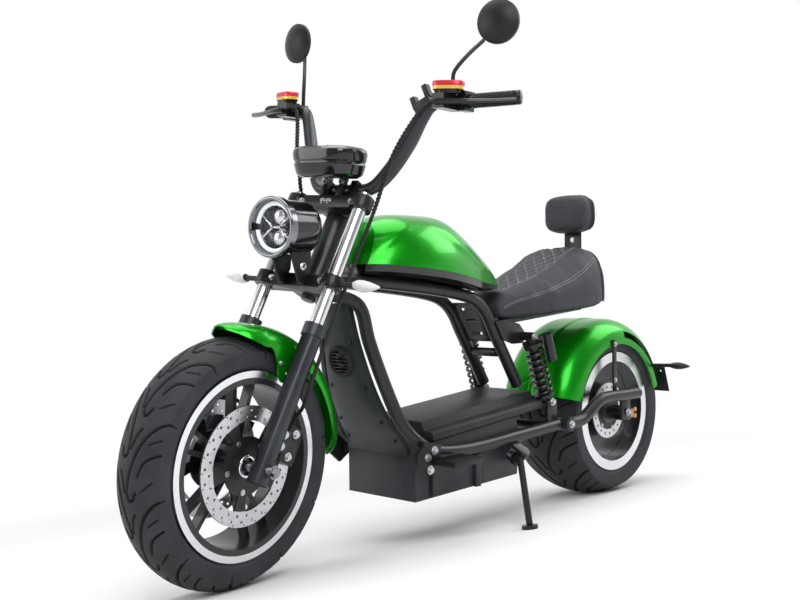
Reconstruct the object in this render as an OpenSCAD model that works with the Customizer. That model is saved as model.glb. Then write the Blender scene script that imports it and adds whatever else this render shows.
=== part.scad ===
// Electric chopper scooter, parked on its side stand with the bars turned a little to the left.
// Bike frame: +X forward, +Y to the rider's left, +Z up, rear axle above x = 0, floor at z = 0.

/* [Wheels] */
// Distance between the axles
wheelbase = 1280; // [1240:5:1320]
// Outer radius of the front tyre
front_tyre_r = 255; // [250:1:258]
// Half width of the front tyre
front_tyre_half = 58; // [54:1:60]
// Height of the front tyre above its rim
front_tyre_h = 65; // [61:1:69]
// Outer radius of the rear tyre
rear_tyre_r = 238; // [232:1:240]
// Half width of the rear tyre
rear_tyre_half = 105; // [98:1:107]
// Height of the rear tyre above its rim
rear_tyre_h = 72; // [68:1:78]

/* [Steering] */
// Rake of the fork from the vertical
rake = 28; // [26:0.5:30]
// Distance of the steering axis behind the fork legs
fork_offset = 45; // [40:1:50]
// Half distance between the fork legs
fork_half = 92; // [90:1:96]
// Outer radius of the fork's lower legs
leg_r = 21; // [18:1:22]
// Outer radius of the chromed stanchions
stanchion_r = 15.5; // [13:0.5:17]
// Angle of the bars to the left as it is parked
steer_rest = 7.6; // [0:0.2:12]

/* [Frame] */
// Outer radius of the frame tubes
tube_r = 15; // [13:0.5:16]
// Half distance between the upper frame tubes
upper_half = 55; // [50:1:60]
// Half distance between the lower frame rails
rail_half = 125; // [122:1:130]
// Half width of the battery box
box_half = 108; // [100:1:109]
// Clearance between the box and the floor
box_floor_gap = 116; // [105:1:130]

/* [Parking] */
// Lean of the whole vehicle to the left on its stand
lean = 8; // [5:0.5:10]

/* [Hidden] */
$fn = 48;
// Gap between pieces that sit face to face
seat_gap = 0.3;
// Radial clearance of a turning shaft in its bore
run_gap = 0.05;
axle_r = 10;
// Heights of the axles in the bike frame as drawn; larger tyres only lift the parked vehicle
front_axle_z = 255;
rear_axle_z = 238;
front_rim_r = front_tyre_r - front_tyre_h;
rear_rim_r = rear_tyre_r - rear_tyre_h;
front_crown = 75;
rear_crown = 200;
lower_clamp_s = 408;
upper_clamp_s = 600;
clamp_h = 30;
leg_top_s = 312;
stem_r = 15;
head_r = 27;
deck_pitch = 5;

// Where the front axle lies in the bike frame
front_axle_at = [wheelbase, 0, front_axle_z];

// Rotation of a point about X, Y or Z by an angle
function turn_x(p, a) = [p.x, p.y * cos(a) - p.z * sin(a), p.y * sin(a) + p.z * cos(a)];
function turn_y(p, a) = [p.x * cos(a) + p.z * sin(a), p.y, -p.x * sin(a) + p.z * cos(a)];
function turn_z(p, a) = [p.x * cos(a) - p.y * sin(a), p.x * sin(a) + p.y * cos(a), p.z];

// A point or direction of the steered assembly, turned to its parked steering angle
function steer_dir(d) = turn_y(turn_z(turn_y(d, rake), steer_rest), -rake);
function steer_point(p) = let (local = turn_y(p - front_axle_at, rake) + [fork_offset, 0, 0])
    front_axle_at + turn_y(turn_z(local, steer_rest) - [fork_offset, 0, 0], -rake);

// Lowest point of a leaned tyre: its crown's centre circle, less the crown's radius
function tyre_low(centre, axis, tyre_r, crown) = let (c = turn_x(centre, -lean), n = turn_x(axis, -lean))
    c.z - (tyre_r - crown) * sqrt(1 - n.z * n.z) - crown;
rear_drop = -tyre_low([0, 0, rear_axle_z], [0, 1, 0], rear_tyre_r, rear_crown);
front_drop = -tyre_low(steer_point(front_axle_at), steer_dir([0, 1, 0]), front_tyre_r, front_crown);
park_pitch = asin((rear_drop - front_drop) / wheelbase);

// The parked frame's origin lies on the floor under the middle of the vehicle
mid_x = 623.5;
mid_y = 144.03;
function park(p) = turn_y(turn_x(p, -lean), park_pitch) + [-mid_x, -mid_y, rear_drop];
module parked() translate([-mid_x, -mid_y, rear_drop]) rotate([0, park_pitch, 0]) rotate([-lean, 0, 0]) children();

// The fork's own frame: origin on the front axle, +Z up along the legs
module on_fork() parked() translate(front_axle_at) rotate([0, -rake, 0]) translate([-fork_offset, 0, 0])
    rotate([0, 0, steer_rest]) translate([fork_offset, 0, 0]) children();
// Points of the bars and lamps are drawn for this place of the front axle
drawn_axle = [1280, 0, front_axle_z];
module on_bars() on_fork() rotate([0, rake, 0]) translate(-drawn_axle) children();
// A longer wheelbase stretches the frame between the seat tubes and the head tube
function along(x) = x + (wheelbase - drawn_axle.x) * min(max((x - 600) / 360, 0), 1);
module both_sides() { children(); mirror([0, 1, 0]) children(); }

// A bar with round ends between two points
module rod(a, b, r) {
    d = b - a;
    translate(a) rotate([0, acos(d.z / norm(d)), atan2(d.y, d.x)]) cylinder(r = r, h = norm(d));
}
module disc_y(r, h, y0) translate([0, y0 + h, 0]) rotate([90, 0, 0]) cylinder(r = r, h = h);
// A profile of radius against width, revolved about the Y axis
module revolve_y(angle = 360, start = 0) rotate([90, 0, 0]) rotate([0, 0, start])
    rotate_extrude(angle = angle, $fn = 96) children();

// Middle and area vector of a closed ring of points
function ring_mid(ring) = [for (p = ring) 1] * ring / len(ring);
function ring_area(ring) = [for (p = ring) 1] * [for (j = [0:len(ring) - 1]) cross(ring[j],
    ring[(j + 1) % len(ring)])] / 2;
// A closed skin over rings of points with flat ends; rings that run the other way are turned round first
module loft(shape) {
    n = len(shape[0]);
    runs_back = ring_area(shape[0]) * (ring_mid(shape[1]) - ring_mid(shape[0])) > 0;
    rings = runs_back ? [for (ring = shape) [for (j = [n - 1:-1:0]) ring[j]]] : shape;
    last = (len(rings) - 1) * n;
    sides = [for (i = [0:len(rings) - 2], j = [0:n - 1]) let (k = (j + 1) % n)
        each [[i * n + j, i * n + k, (i + 1) * n + k], [i * n + j, (i + 1) * n + k, (i + 1) * n + j]]];
    polyhedron(points = [for (ring = rings) each ring],
        faces = concat(sides, [[for (j = [n - 1:-1:0]) j]], [[for (j = [0:n - 1]) last + j]]));
}

// A smooth line through the given points, with a number of steps between each pair
function spline_at(p, i, t) = let (a = p[max(i - 1, 0)], b = p[i], c = p[i + 1], d = p[min(i + 2, len(p) - 1)])
    0.5 * (2 * b + (c - a) * t + (2 * a - 5 * b + 4 * c - d) * t * t + (3 * b - a - 3 * c + d) * t * t * t);
function smooth(p, steps) = [for (i = [0:len(p) - 2], s = [0:steps - 1]) spline_at(p, i, s / steps), p[len(p) - 1]];
function unit(v) = v / norm(v);
function tangent(p, i) = unit(p[min(i + 1, len(p) - 1)] - p[max(i - 1, 0)]);
// A round or flattened tube along a line, with its flat side facing along the given direction
module sweep(path, wide, thick, facing = [0, 0, 1], sides = 12) {
    loft([for (i = [0:len(path) - 1]) let (t = tangent(path, i), u = unit(cross(facing, t)), v = cross(t, u))
        [for (j = [0:sides - 1]) let (a = 360 * j / sides) path[i] + u * wide * cos(a) + v * thick * sin(a)]]);
}
// A flattened tube whose control points also carry its half width and half thickness
module sized_sweep(points, steps, facing, sides = 12) {
    path = smooth(points, steps);
    spine = [for (p = path) [p[0], p[1], p[2]]];
    loft([for (i = [0:len(path) - 1]) let (t = tangent(spine, i), u = unit(cross(facing, t)), v = cross(t, u))
        [for (j = [0:sides - 1]) let (a = 360 * j / sides)
            spine[i] + u * path[i][3] * cos(a) + v * path[i][4] * sin(a)]]);
}
module tube(points, r, steps = 4, sides = 12, facing = [0, 1, 0]) sweep(smooth(points, steps), r, r, facing, sides);

// Power of a signed number, for the rounded sections
function bulge(v, e) = sign(v) * pow(abs(v), 2 / e);

// Main frame
module head_tube() color("dimgray") parked() translate(front_axle_at) rotate([0, -rake, 0]) translate([-fork_offset, 0, 0])
    difference() {
        low = lower_clamp_s + clamp_h / 2 + seat_gap;
        high = upper_clamp_s - clamp_h / 2 - seat_gap;
        translate([0, 0, low]) cylinder(r = head_r, h = high - low);
        translate([0, 0, low - 1]) cylinder(r = stem_r + run_gap, h = high - low + 2);
    }

// The steering axis at a height above the floor
function axis_x(z) = wheelbase - fork_offset / cos(rake) - (z - front_axle_z) * tan(rake);
upper_line = [[axis_x(624) - head_r + 0.8, 18, 613], [along(930), 46, 614], [along(876), upper_half, 609],
    [along(726), upper_half, 594], [along(610), upper_half, 577], [556, upper_half, 558], [520, upper_half, 527], [490, upper_half, 480],
    [445, upper_half, 414], [398, upper_half, 342]];
lower_line = [[axis_x(600) - head_r - 6, 26, 586], [along(962), 58, 560], [along(945), 72, 480],
    [along(915), 90, 380], [along(880), 102, 300], [along(842), rail_half - 5, 252], [along(790), rail_half, 228],
    [along(670), rail_half, 219], [480, rail_half, 228], [319.6, rail_half, 236]];
rail_path = smooth(lower_line, 4);
// The left rail over the side stand, for what is seated on it
rail_ahead = rail_path[30];
rail_behind = rail_path[32];
module rail_form(gap) rod(rail_ahead + (rail_ahead - rail_behind) * 0.6, rail_behind + (rail_behind - rail_ahead) * 0.6,
    tube_r + gap);
module frame_tubes() color("dimgray") parked() both_sides() {
    tube(upper_line, tube_r);
    tube(lower_line, tube_r);
}
module frame_cross() color("dimgray") parked() {
    half = upper_half - tube_r - seat_gap;
    translate([455, -half, 428]) rotate([-90, 0, 0]) cylinder(r = 11, h = 2 * half);
    rail_gap = rail_half - tube_r - seat_gap;
    translate([345, -rail_gap, 235]) rotate([-90, 0, 0]) cylinder(r = 12, h = 2 * rail_gap);
}

// Front panel between the down tubes, and the round vent in it
shield_thick = 14;
shield_foot = along(856.3);
shield_stations = [[566, along(976), 36], [480, along(966), 52], [380, along(938), 68], [300, along(900), 80],
    [255, along(868), 90], [236, shield_foot, 94], [224, shield_foot, 95]];
module leg_shield() color([0.2, 0.21, 0.23]) parked() difference() {
    loft([for (s = shield_stations) [[s[1] - shield_thick, -s[2], s[0]], [s[1] - shield_thick, s[2], s[0]],
        [s[1], s[2], s[0]], [s[1] + 8, s[2] * 0.5, s[0]], [s[1] + 8, -s[2] * 0.5, s[0]], [s[1], -s[2], s[0]]]]);
    vent_place() translate([0, 0, -40]) cylinder(r = vent_r, h = 80);
}
vent_r = 30;
vent_tilt = 106;
module vent_place() translate([along(963), 0, 436]) rotate([0, vent_tilt, 0]) children();
module shield_vent() color("black") parked() vent_place() difference() {
    translate([0, 0, -10]) cylinder(r = vent_r - seat_gap, h = 30);
    for (i = [-2:2]) translate([i * 9 - 2.5, -20, 8]) cube([5, 40, 20]);
    translate([0, 0, -20]) cylinder(r = vent_r - 8, h = 16);
}

// Battery box under the floor, with its lower straps
box_front = shield_foot - shield_thick - seat_gap;
box_rear = 470;
deck_base = 262;
// Height of the floor's underside, less a seat gap
function deck_under(x) = deck_base - (x - 600) * tan(deck_pitch) - 1.05 * seat_gap;
module battery_box() color([0.22, 0.23, 0.26]) parked() translate([0, box_half, 0]) rotate([90, 0, 0])
    linear_extrude(2 * box_half) polygon([[box_front, box_floor_gap], [box_front, 222], [box_front - 40, deck_under(box_front - 40)],
        [box_rear, deck_under(box_rear)], [box_rear - 12, 200], [box_rear, box_floor_gap + 12]]);
module box_straps() color([0.18, 0.18, 0.2]) parked() both_sides() for (x = [along(784), along(630)])
    translate([x - 9, box_half + seat_gap, box_floor_gap + 6]) cube([18, 9, 78]);

// Floor with its raised middle, sloping up to the rear
deck_front = along(792);
deck_rear = 376;
module floor_deck() color([0.24, 0.25, 0.27]) parked() translate([600, 0, deck_base]) rotate([0, deck_pitch, 0])
    rotate([90, 0, -90]) translate([0, 0, -(deck_front - 600)]) linear_extrude(deck_front - deck_rear)
        polygon([[-119, 4], [-119, 18], [-114, 24], [-92, 26], [-84, 46], [84, 46], [92, 26], [114, 24],
            [119, 18], [119, 4], [100, 0], [-100, 0]]);

// Body panel in the form of a fuel tank, with a dark lower trim
// Distance forward, half width, height of the crown, lean of the section and depth of the trim
tank_plan = [[948, 70, 96, 0.53, 1], [915, 100, 108, 0.45, 1], [870, 121, 119, 0.3, 1], [815, 132, 126, 0.15, 1],
    [755, 133, 132, 0, 1], [690, 124, 136, 0, 1], [625, 108, 116, 0, 1], [560, 88, 88, 0, 0.9], [495, 62, 54, 0, 0.6],
    [436, 30, 14, 0, 0.25]];
trim_h = 22;
// Gap of the trim above the tubes, which bend up a little between their points
trim_gap = 1;
// Height of the tank's lower edge above the upper frame tubes
function tube_top(x) = lookup(x, [[436, 571], [560, 583], [610, 577 + tube_r], [726, 594 + tube_r], [876, 609 + tube_r],
    [930, 614 + tube_r], [948, 614.5 + tube_r]]);
tank_stations = [for (p = tank_plan) [along(p[0]), tube_top(p[0]) + trim_gap + trim_h + seat_gap, p[1], p[2], p[3], p[4]]];
tank_round = 2.5;
function dome(s, part) = [for (j = [0:part]) let (a = 180 * j / part, z = s[3] * bulge(sin(a), tank_round))
    [s[0] - s[4] * z, s[2] * bulge(cos(a), tank_round), s[1] + z]];
module tank() color([0.05, 0.62, 0.1]) parked() loft([for (s = tank_stations) dome(s, 20)]);
module tank_trim() color([0.12, 0.12, 0.13]) parked() loft([for (s = tank_stations) let (z = s[1] - seat_gap)
    [[s[0], s[2] - 2, z], [s[0], -s[2] + 2, z], [s[0], -s[2] + 5, z - s[5] * trim_h * 0.7],
        [s[0], -s[2] + 14, z - s[5] * trim_h], [s[0], s[2] - 14, z - s[5] * trim_h],
        [s[0], s[2] - 5, z - s[5] * trim_h * 0.7]]]);

// Saddle: bottom height, top height and half width along its length
seat_stations = [[478, 512, 548, 66], [440, 514, 580, 88], [380, 519, 600, 110], [310, 524, 622, 126],
    [240, 530, 650, 135], [175, 535, 682, 138], [120, 540, 700, 133], [88, 543, 696, 126]];
function saddle(s, part) = [for (j = [0:part]) let (a = 180 * j / part)
    [s[0], s[3] * bulge(cos(a), 4), s[1] + (s[2] - s[1]) * bulge(sin(a), 3.2)]];
module seat() color([0.27, 0.28, 0.31]) parked() loft([for (s = seat_stations) saddle(s, 18)]);
cap_stations = [[87.5, 545, 690, 122], [74, 548, 684, 116], [62, 556, 668, 100]];
module seat_cap() color([0.2, 0.21, 0.23]) parked() loft([for (s = cap_stations) saddle(s, 18)]);
module seat_rails() color("dimgray") parked() both_sides() difference() {
    translate([120, 44, 539]) rotate([0, 4.55, 0]) translate([0, 0, -12]) cube([390, 22, 12]);
    rod([544, upper_half, 564], [478, upper_half, 461], tube_r + seat_gap);
    translate([498, 30, 480]) cube([60, 50, 80]);
}
// Backrest behind the saddle
module backrest_post() color("black") parked() translate([58, -28, 560]) cube([3.7, 56, 190]);
function pad_ring(x, half, low, high) = [for (j = [0:23]) let (a = 15 * j)
    [x, half * bulge(cos(a), 4), (low + high) / 2 + (high - low) / 2 * bulge(sin(a), 4)]];
module backrest_pad() color([0.25, 0.26, 0.29]) parked()
    loft([for (s = [[112, 58, 752, 836], [104, 70, 742, 846], [80, 74, 738, 850], [62, 72, 740, 848]])
        pad_ring(s[0], s[1], s[2], s[3])]);
module backrest_shell() color([0.16, 0.16, 0.18]) parked()
    loft([for (s = [[57.7, 70, 742, 846], [48, 70, 742, 846], [34, 60, 752, 836]]) pad_ring(s[0], s[1], s[2], s[3])]);

// Slotted plate between the seat tubes
module rear_plate() color([0.08, 0.08, 0.09]) parked() translate([509, 0, 505]) rotate([0, 32, 0]) difference() {
    half = upper_half - tube_r + 0.1;
    translate([-4, -half, -58]) cube([3, 2 * half, 116]);
    for (z = [-38, 2, 34]) translate([-8, -18, z]) cube([12, 36, 9]);
}

// Rear suspension
shock_top = [404, 106, 468];
shock_low = [345, 106, 298];
module shock_axis() {
    d = shock_low - shock_top;
    translate(shock_top) rotate([0, acos(d.z / norm(d)), atan2(d.y, d.x)]) children();
}
shock_len = norm(shock_low - shock_top);
module shocks() color([0.1, 0.1, 0.11]) parked() both_sides() {
    shock_axis() {
        cylinder(r = 13.4, h = shock_len);
        translate([0, 0, 16]) cylinder(r = 26, h = 9);
        translate([0, 0, shock_len - 24]) cylinder(r = 26, h = 8);
        translate([-30, -27, 4]) cylinder(r = 13, h = 72);
        rotate([0, 0, 222]) translate([0, -7, 4]) cube([40, 14, 14]);
    }
    translate([shock_top.x, 76.6, shock_top.z]) rotate([-90, 0, 0]) cylinder(r = 11, h = 40);
    translate([shock_low.x, 92, shock_low.z]) rotate([-90, 0, 0]) cylinder(r = 11, h = 27.7);
}
// Plates that carry the shocks: the upper ones on the seat tubes, the lower ones on the rails
module shock_brackets() color([0.2, 0.2, 0.22]) parked() both_sides() {
    translate([0, upper_half + tube_r + 6.3, 0]) rotate([90, 0, 0]) linear_extrude(6)
        polygon([[508, 508], [478, 462], [440, 450], [396, 450], [388, 476], [412, 500], [470, 512]]);
    difference() {
        translate([325, 120, 236]) cube([40, 8, 66]);
        rod([480, rail_half, 228], [319, rail_half, 236], tube_r + seat_gap);
        translate([320, 100, 200]) cube([60, 60, 36]);
    }
}
coil_turns = 7;
coil_r = 22;
coil_wire = 4;
module shock_springs() color([0.08, 0.08, 0.08]) parked() both_sides() shock_axis() {
    low = 25 + coil_wire + seat_gap;
    high = shock_len - 24 - coil_wire - seat_gap;
    steps = 12 * coil_turns;
    sweep([for (i = [0:steps]) [coil_r * cos(30 * i), coil_r * sin(30 * i), low + (high - low) * i / steps]],
        coil_wire, coil_wire, [0, 0, 1], 6);
}

// Bent swing arm that carries the rear axle, with its drop plates
arm_y = 138;
pivot_at = [300, 238];
pivot_r = 19;
arm_line = [[pivot_at.x - pivot_r - 0.5, arm_y, 238], [255, arm_y, 238], [222, arm_y, 243], [176, arm_y, 267],
    [136, arm_y, 286], [90, arm_y, 289], [20, arm_y, 288], [-50, arm_y, 288]];
module swing_pivots() color([0.3, 0.3, 0.32]) parked() both_sides()
    translate([pivot_at.x, 121, pivot_at.y]) rotate([-90, 0, 0]) cylinder(r = pivot_r, h = 34);
module swingarm() color([0.28, 0.29, 0.31]) parked() both_sides() tube(arm_line, 16, 4, 12, [0, 1, 0]);
module rear_axle() color([0.4, 0.4, 0.42]) parked() {
    translate([0, 0, rear_axle_z]) disc_y(axle_r, 2 * 137, -137);
    both_sides() translate([-22, 124, rear_axle_z - 22]) cube([44, 8, 57]);
}
// Rear fender with its deep sides and crescent windows
fender_at = [12, 0, rear_axle_z - 2];
fender_r = rear_tyre_r + 24;
fender_half = 119;
fender_wall = 3.5;
fender_corner = 62;
module fender_section(r, half, corner) {
    translate([150, -half + corner]) square([r - 150, 2 * (half - corner)]);
    translate([150, -half]) square([r - corner - 150, 2 * half]);
    for (side = [-1, 1]) translate([r - corner, side * (half - corner)]) circle(r = corner);
}
module rear_fender() color([0.05, 0.62, 0.1]) parked() translate(fender_at) difference() {
    revolve_y(150, 14) difference() {
        intersection() {
            fender_section(fender_r, fender_half, fender_corner);
            translate([fender_r - 70, -fender_half]) square([100, 2 * fender_half]);
        }
        fender_section(fender_r - fender_wall, fender_half - fender_wall, fender_corner - fender_wall);
    }
    translate([0, fender_half + 5, 0]) rotate([90, 0, 0]) linear_extrude(2 * fender_half + 10) intersection() {
        difference() {
            translate([-4, -4]) circle(r = fender_r - 30);
            translate([8, -14]) circle(r = fender_r - 36);
        }
        rotate(98) square(300);
    }
}
// The rear fender's outer form, for what is seated on it
module fender_form(gap) translate(fender_at) revolve_y()
    fender_section(fender_r + gap, fender_half + gap, fender_corner + gap);
module fender_radial(angle) translate(fender_at) rotate([0, -angle, 0]) children();
module fender_stay() color([0.15, 0.15, 0.16]) parked() both_sides() difference() {
    translate([34, fender_half + seat_gap, 286]) cube([16, 5, 156]);
    rod([90, arm_y, 288.5], [-50, arm_y, 288.5], 16.3);
}
// Lamps and plate carrier on the rear fender
module rear_signals() color([0.12, 0.12, 0.12]) parked() both_sides() difference() {
    fender_radial(151.31) {
        rod([fender_r - 20.3, 70, 0], [fender_r - 12.4, 160, 2.1], 7);
        translate([fender_r - 12.4, 160, 2.1]) rotate([-90, 0, 0]) cylinder(r1 = 13, r2 = 3, h = 56);
    }
    fender_form(seat_gap);
}
module tail_light() color([0.7, 0.05, 0.05]) parked() difference() {
    fender_radial(148) translate([fender_r - 22, -40, -17]) cube([40, 80, 34]);
    fender_form(seat_gap);
}
plate_gap = 180;
module plate_bracket() color([0.1, 0.1, 0.1]) parked() difference() {
    fender_radial(160) {
        translate([fender_r - 16, -22, -8]) cube([46, 44, 14]);
        translate([fender_r + 28, -105, -16]) cube([3, 210, 86]);
    }
    fender_form(seat_gap);
    fender_radial(160) for (y = [-plate_gap / 2, plate_gap / 2])
        translate([fender_r + 18, y, 4]) rotate([0, 90, 0]) cylinder(r = 3.25, h = 20);
}
module rear_caliper() color([0.72, 0.5, 0.3]) parked() translate([-22 - seat_gap - 40, 79, 206]) cube([40, 51, 46]);
// Folding footrests at the front of the floor
module footrests() color([0.14, 0.14, 0.15]) parked() both_sides() translate([along(842) - 842, 0, 0]) {
    plate_y = rail_half + tube_r + 2;
    translate([0, plate_y + 8, 0]) rotate([90, 0, 0]) linear_extrude(8)
        polygon([[866, 204], [872, 232], [852, 258], [800, 246], [806, 200], [838, 180]]);
    difference() {
        translate([800, rail_half, 206]) cube([26, tube_r + 3, 36]);
        translate([842 - along(842), 0, 0]) tube(lower_line, tube_r + seat_gap);
    }
    translate([735, plate_y + 8 + seat_gap, 204]) cube([96, 66, 12]);
}
// Side stand on the left rail
stand_pivot = [492, 134, 178];
stand_foot_at = [590, 236];
foot_r = 19;
foot_h = 7;
// Height in the bike frame at which the foot's top meets the stand's leg
function foot_height(z) = park([stand_foot_at.x, stand_foot_at.y, z]).z;
foot_z = (foot_h - foot_height(0)) / (foot_height(1) - foot_height(0));
stand_foot = [stand_foot_at.x, stand_foot_at.y, foot_z];
stand_dir = unit(stand_foot - stand_pivot);
stand_folded = unit([-0.985, 0.13, -0.02]);
stand_axis = unit(cross(stand_dir, stand_folded));
stand_pin_r = 7;
module stand_axis_at() translate(stand_pivot)
    rotate([0, acos(stand_axis.z), atan2(stand_axis.y, stand_axis.x)]) children();
stand_web = -unit(stand_dir + stand_folded);
stand_web_local = turn_y(turn_z(stand_web, -atan2(stand_axis.y, stand_axis.x)), -acos(stand_axis.z));
stand_web_angle = atan2(stand_web_local.y, stand_web_local.x);
module stand_bracket() color([0.12, 0.12, 0.12]) parked() {
    difference() {
        stand_axis_at() rotate([0, 0, stand_web_angle]) {
            for (low = [-23, 13]) translate([0, 0, low]) linear_extrude(10) {
                circle(r = 15);
                translate([0, -12]) square([60, 24]);
            }
            translate([30, -12, -14]) cube([30, 24, 28]);
        }
        rail_form(seat_gap);
        translate([400, 0, 100]) cube([200, box_half + seat_gap, 200]);
        translate([400, 100, 219]) cube([200, 100, 80]);
    }
    stand_axis_at() translate([0, 0, -20]) cylinder(r = stand_pin_r, h = 40);
}
module side_stand() color([0.2, 0.2, 0.21]) {
    parked() difference() {
        union() {
            stand_axis_at() translate([0, 0, -12]) cylinder(r = 15, h = 24);
            rod(stand_pivot, stand_foot, 8);
        }
        stand_axis_at() translate([0, 0, -30]) cylinder(r = stand_pin_r + run_gap, h = 60);
    }
    translate([park(stand_foot).x, park(stand_foot).y, 0]) cylinder(r = foot_r, h = foot_h + 2);
}

// Fork
module clamp_plate(s, h) translate([0, 0, s - h / 2]) difference() {
    linear_extrude(h) {
        for (side = [-1, 1]) translate([0, side * fork_half]) circle(r = stanchion_r + 9);
        translate([-22, -fork_half]) square([34, 2 * fork_half]);
        translate([-fork_offset, 0]) circle(r = stem_r + 13);
        translate([-fork_offset, -stem_r - 13]) square([fork_offset, 2 * (stem_r + 13)]);
    }
    for (side = [-1, 1]) translate([0, side * fork_half, -1]) cylinder(r = stanchion_r + seat_gap, h = h + 2);
    translate([-fork_offset, 0, -1]) cylinder(r = stem_r + seat_gap, h = h + 2);
}
module lower_clamp() color([0.1, 0.1, 0.1]) on_fork() clamp_plate(lower_clamp_s, clamp_h);
module upper_clamp() color([0.1, 0.1, 0.1]) on_fork() clamp_plate(upper_clamp_s, clamp_h);
module steering_stem() color([0.4, 0.4, 0.42]) on_fork() translate([-fork_offset, 0, lower_clamp_s - clamp_h / 2 - 8])
    cylinder(r = stem_r, h = upper_clamp_s - lower_clamp_s + clamp_h + 20);
module stanchions() color([0.85, 0.86, 0.88]) on_fork() both_sides()
    translate([0, fork_half, leg_top_s + seat_gap]) cylinder(r = stanchion_r, h = upper_clamp_s + 22 - leg_top_s);
module fork_legs() color([0.2, 0.21, 0.23]) on_fork() difference() {
    both_sides() translate([0, fork_half, 0]) {
        translate([0, 0, -30]) cylinder(r = leg_r, h = leg_top_s + 30);
        translate([0, 0, leg_top_s - 26]) cylinder(r = leg_r + 3, h = 26);
    }
    rotate([90, 0, 0]) translate([0, 0, -200]) cylinder(r = axle_r + seat_gap, h = 400);
}
module front_axle() color([0.4, 0.4, 0.42]) on_fork() {
    disc_y(axle_r, 2 * (fork_half + leg_r + 12), -(fork_half + leg_r + 12));
}

// Front fender, bolted inside the fork legs
front_fender_r = front_tyre_r + 25;
front_fender_half = fork_half - leg_r - seat_gap;
module front_fender() color([0.05, 0.62, 0.1]) on_fork() rotate([0, rake, 0])
    revolve_y(101, 83) difference() {
        intersection() {
            fender_section(front_fender_r, front_fender_half, 40);
            translate([front_fender_r - 44, -front_fender_half]) square([60, 2 * front_fender_half]);
        }
        fender_section(front_fender_r - 3, front_fender_half - 3, 37);
    }

// Headlight
lamp_at = [1168, 0, 729];
lamp_r = 64;
module at_lamp() on_bars() translate(lamp_at) rotate([0, 90, 0]) children();
module headlight_bucket() color([0.12, 0.12, 0.13]) at_lamp() {
    translate([0, 0, -90]) rotate_extrude() difference() {
        union() {
            square([lamp_r - 6, 86]);
        }
        translate([lamp_r - 30, -24]) difference() {
            square([60, 40]);
            translate([0, 40]) circle(r = 24);
        }
        translate([-1, 4]) square([lamp_r - 9, 100]);
    }
}
module headlight_ring() color([0.85, 0.86, 0.88]) at_lamp() rotate_extrude() {
    translate([lamp_r - 9, -3.7]) square([9, 14]);
    translate([lamp_r - 4.5, 10]) circle(r = 4.5);
}
module headlight_lens() color([0.8, 0.85, 0.9]) at_lamp() {
    translate([0, 0, 0]) cylinder(r = lamp_r - 9 - seat_gap, h = 6);
}
module headlight_bracket() color([0.1, 0.1, 0.1]) difference() {
    on_bars() both_sides() translate([0, 31, 0]) rotate([90, 0, 0]) linear_extrude(6)
        polygon([[1088, 640], [1086, 690], [1140, 700], [1146, 676], [1120, 614], [1085, 606]]);
    at_lamp() translate([0, 0, -95]) cylinder(r = lamp_r - 6 + seat_gap, h = 100);
    on_fork() translate([-60, -fork_half, lower_clamp_s - clamp_h]) cube([72 + seat_gap, 2 * fork_half, 2 * clamp_h]);
}
// Leaf-shaped turn signals on the lower clamp: distance out, half length fore and aft, half height
signal_stations = [[0, 6, 6], [34, 6, 6], [40, 12, 8], [52, 17, 11], [66, 16, 11], [84, 10, 7.5], [102, 2, 2]];
module front_signals() color([0.9, 0.9, 0.88]) on_fork() both_sides()
    loft([for (s = signal_stations) [for (j = [0:11])
        [s[1] * cos(30 * j), fork_half + stanchion_r + 9 + seat_gap + s[0], lower_clamp_s + s[2] * sin(30 * j)]]]);
// Instrument pod on its bracket
pod_at = [1000, 0, 874];
function pod_ring(z, long, wide) = [for (j = [0:23]) let (a = 15 * j)
    [pod_at.x + long * bulge(cos(a), 3.4), wide * bulge(sin(a), 3.4), pod_at.z + z]];
module display_pod() color([0.05, 0.05, 0.05]) on_bars()
    loft([pod_ring(-34, 42, 60), pod_ring(-26, 52, 72), pod_ring(0, 58, 78), pod_ring(18, 60, 80), pod_ring(30, 54, 74),
        pod_ring(34, 42, 62)]);
module display_bracket() color([0.08, 0.08, 0.08]) difference() {
    on_fork() both_sides() translate([-4, 18, upper_clamp_s + clamp_h / 2 + seat_gap]) cube([15, 9, 70]);
    on_bars() translate([900, -60, pod_at.z - 34 - seat_gap]) cube([200, 120, 100]);
}
// Handlebar of flattened tube, and what is on it
bar_mid = [948, 0, 816];
bar_mid_r = 14;
grip_r = 11;
grip_in = [880, 184, 1006];
grip_out = [816, 366, 1020];
grip_dir = unit(grip_out - grip_in);
bar_line = [[bar_mid.x, 0, bar_mid.z, bar_mid_r, bar_mid_r], [bar_mid.x, 50, bar_mid.z, bar_mid_r, bar_mid_r],
    [942, 82, 826, 13, 17], [924, 110, 862, 12, 21], [904, 141, 920, 12, 21], [890, 165, 976, 12, 18],
    [881, 184, 1003, 13, 14], [868, 219, 1008.7, grip_r, grip_r],
    [grip_out.x, grip_out.y, grip_out.z, grip_r, grip_r]];
bar_right = [for (i = [len(bar_line) - 1:-1:1]) let (p = bar_line[i]) [p[0], -p[1], p[2], p[3], p[4]]];
module handlebar() color([0.26, 0.27, 0.29]) on_bars()
    sized_sweep(concat(bar_right, bar_line), 4, [1, 0, 0.4]);
// The bar dips a little beside its middle
bar_dip = 0.5;
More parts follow.
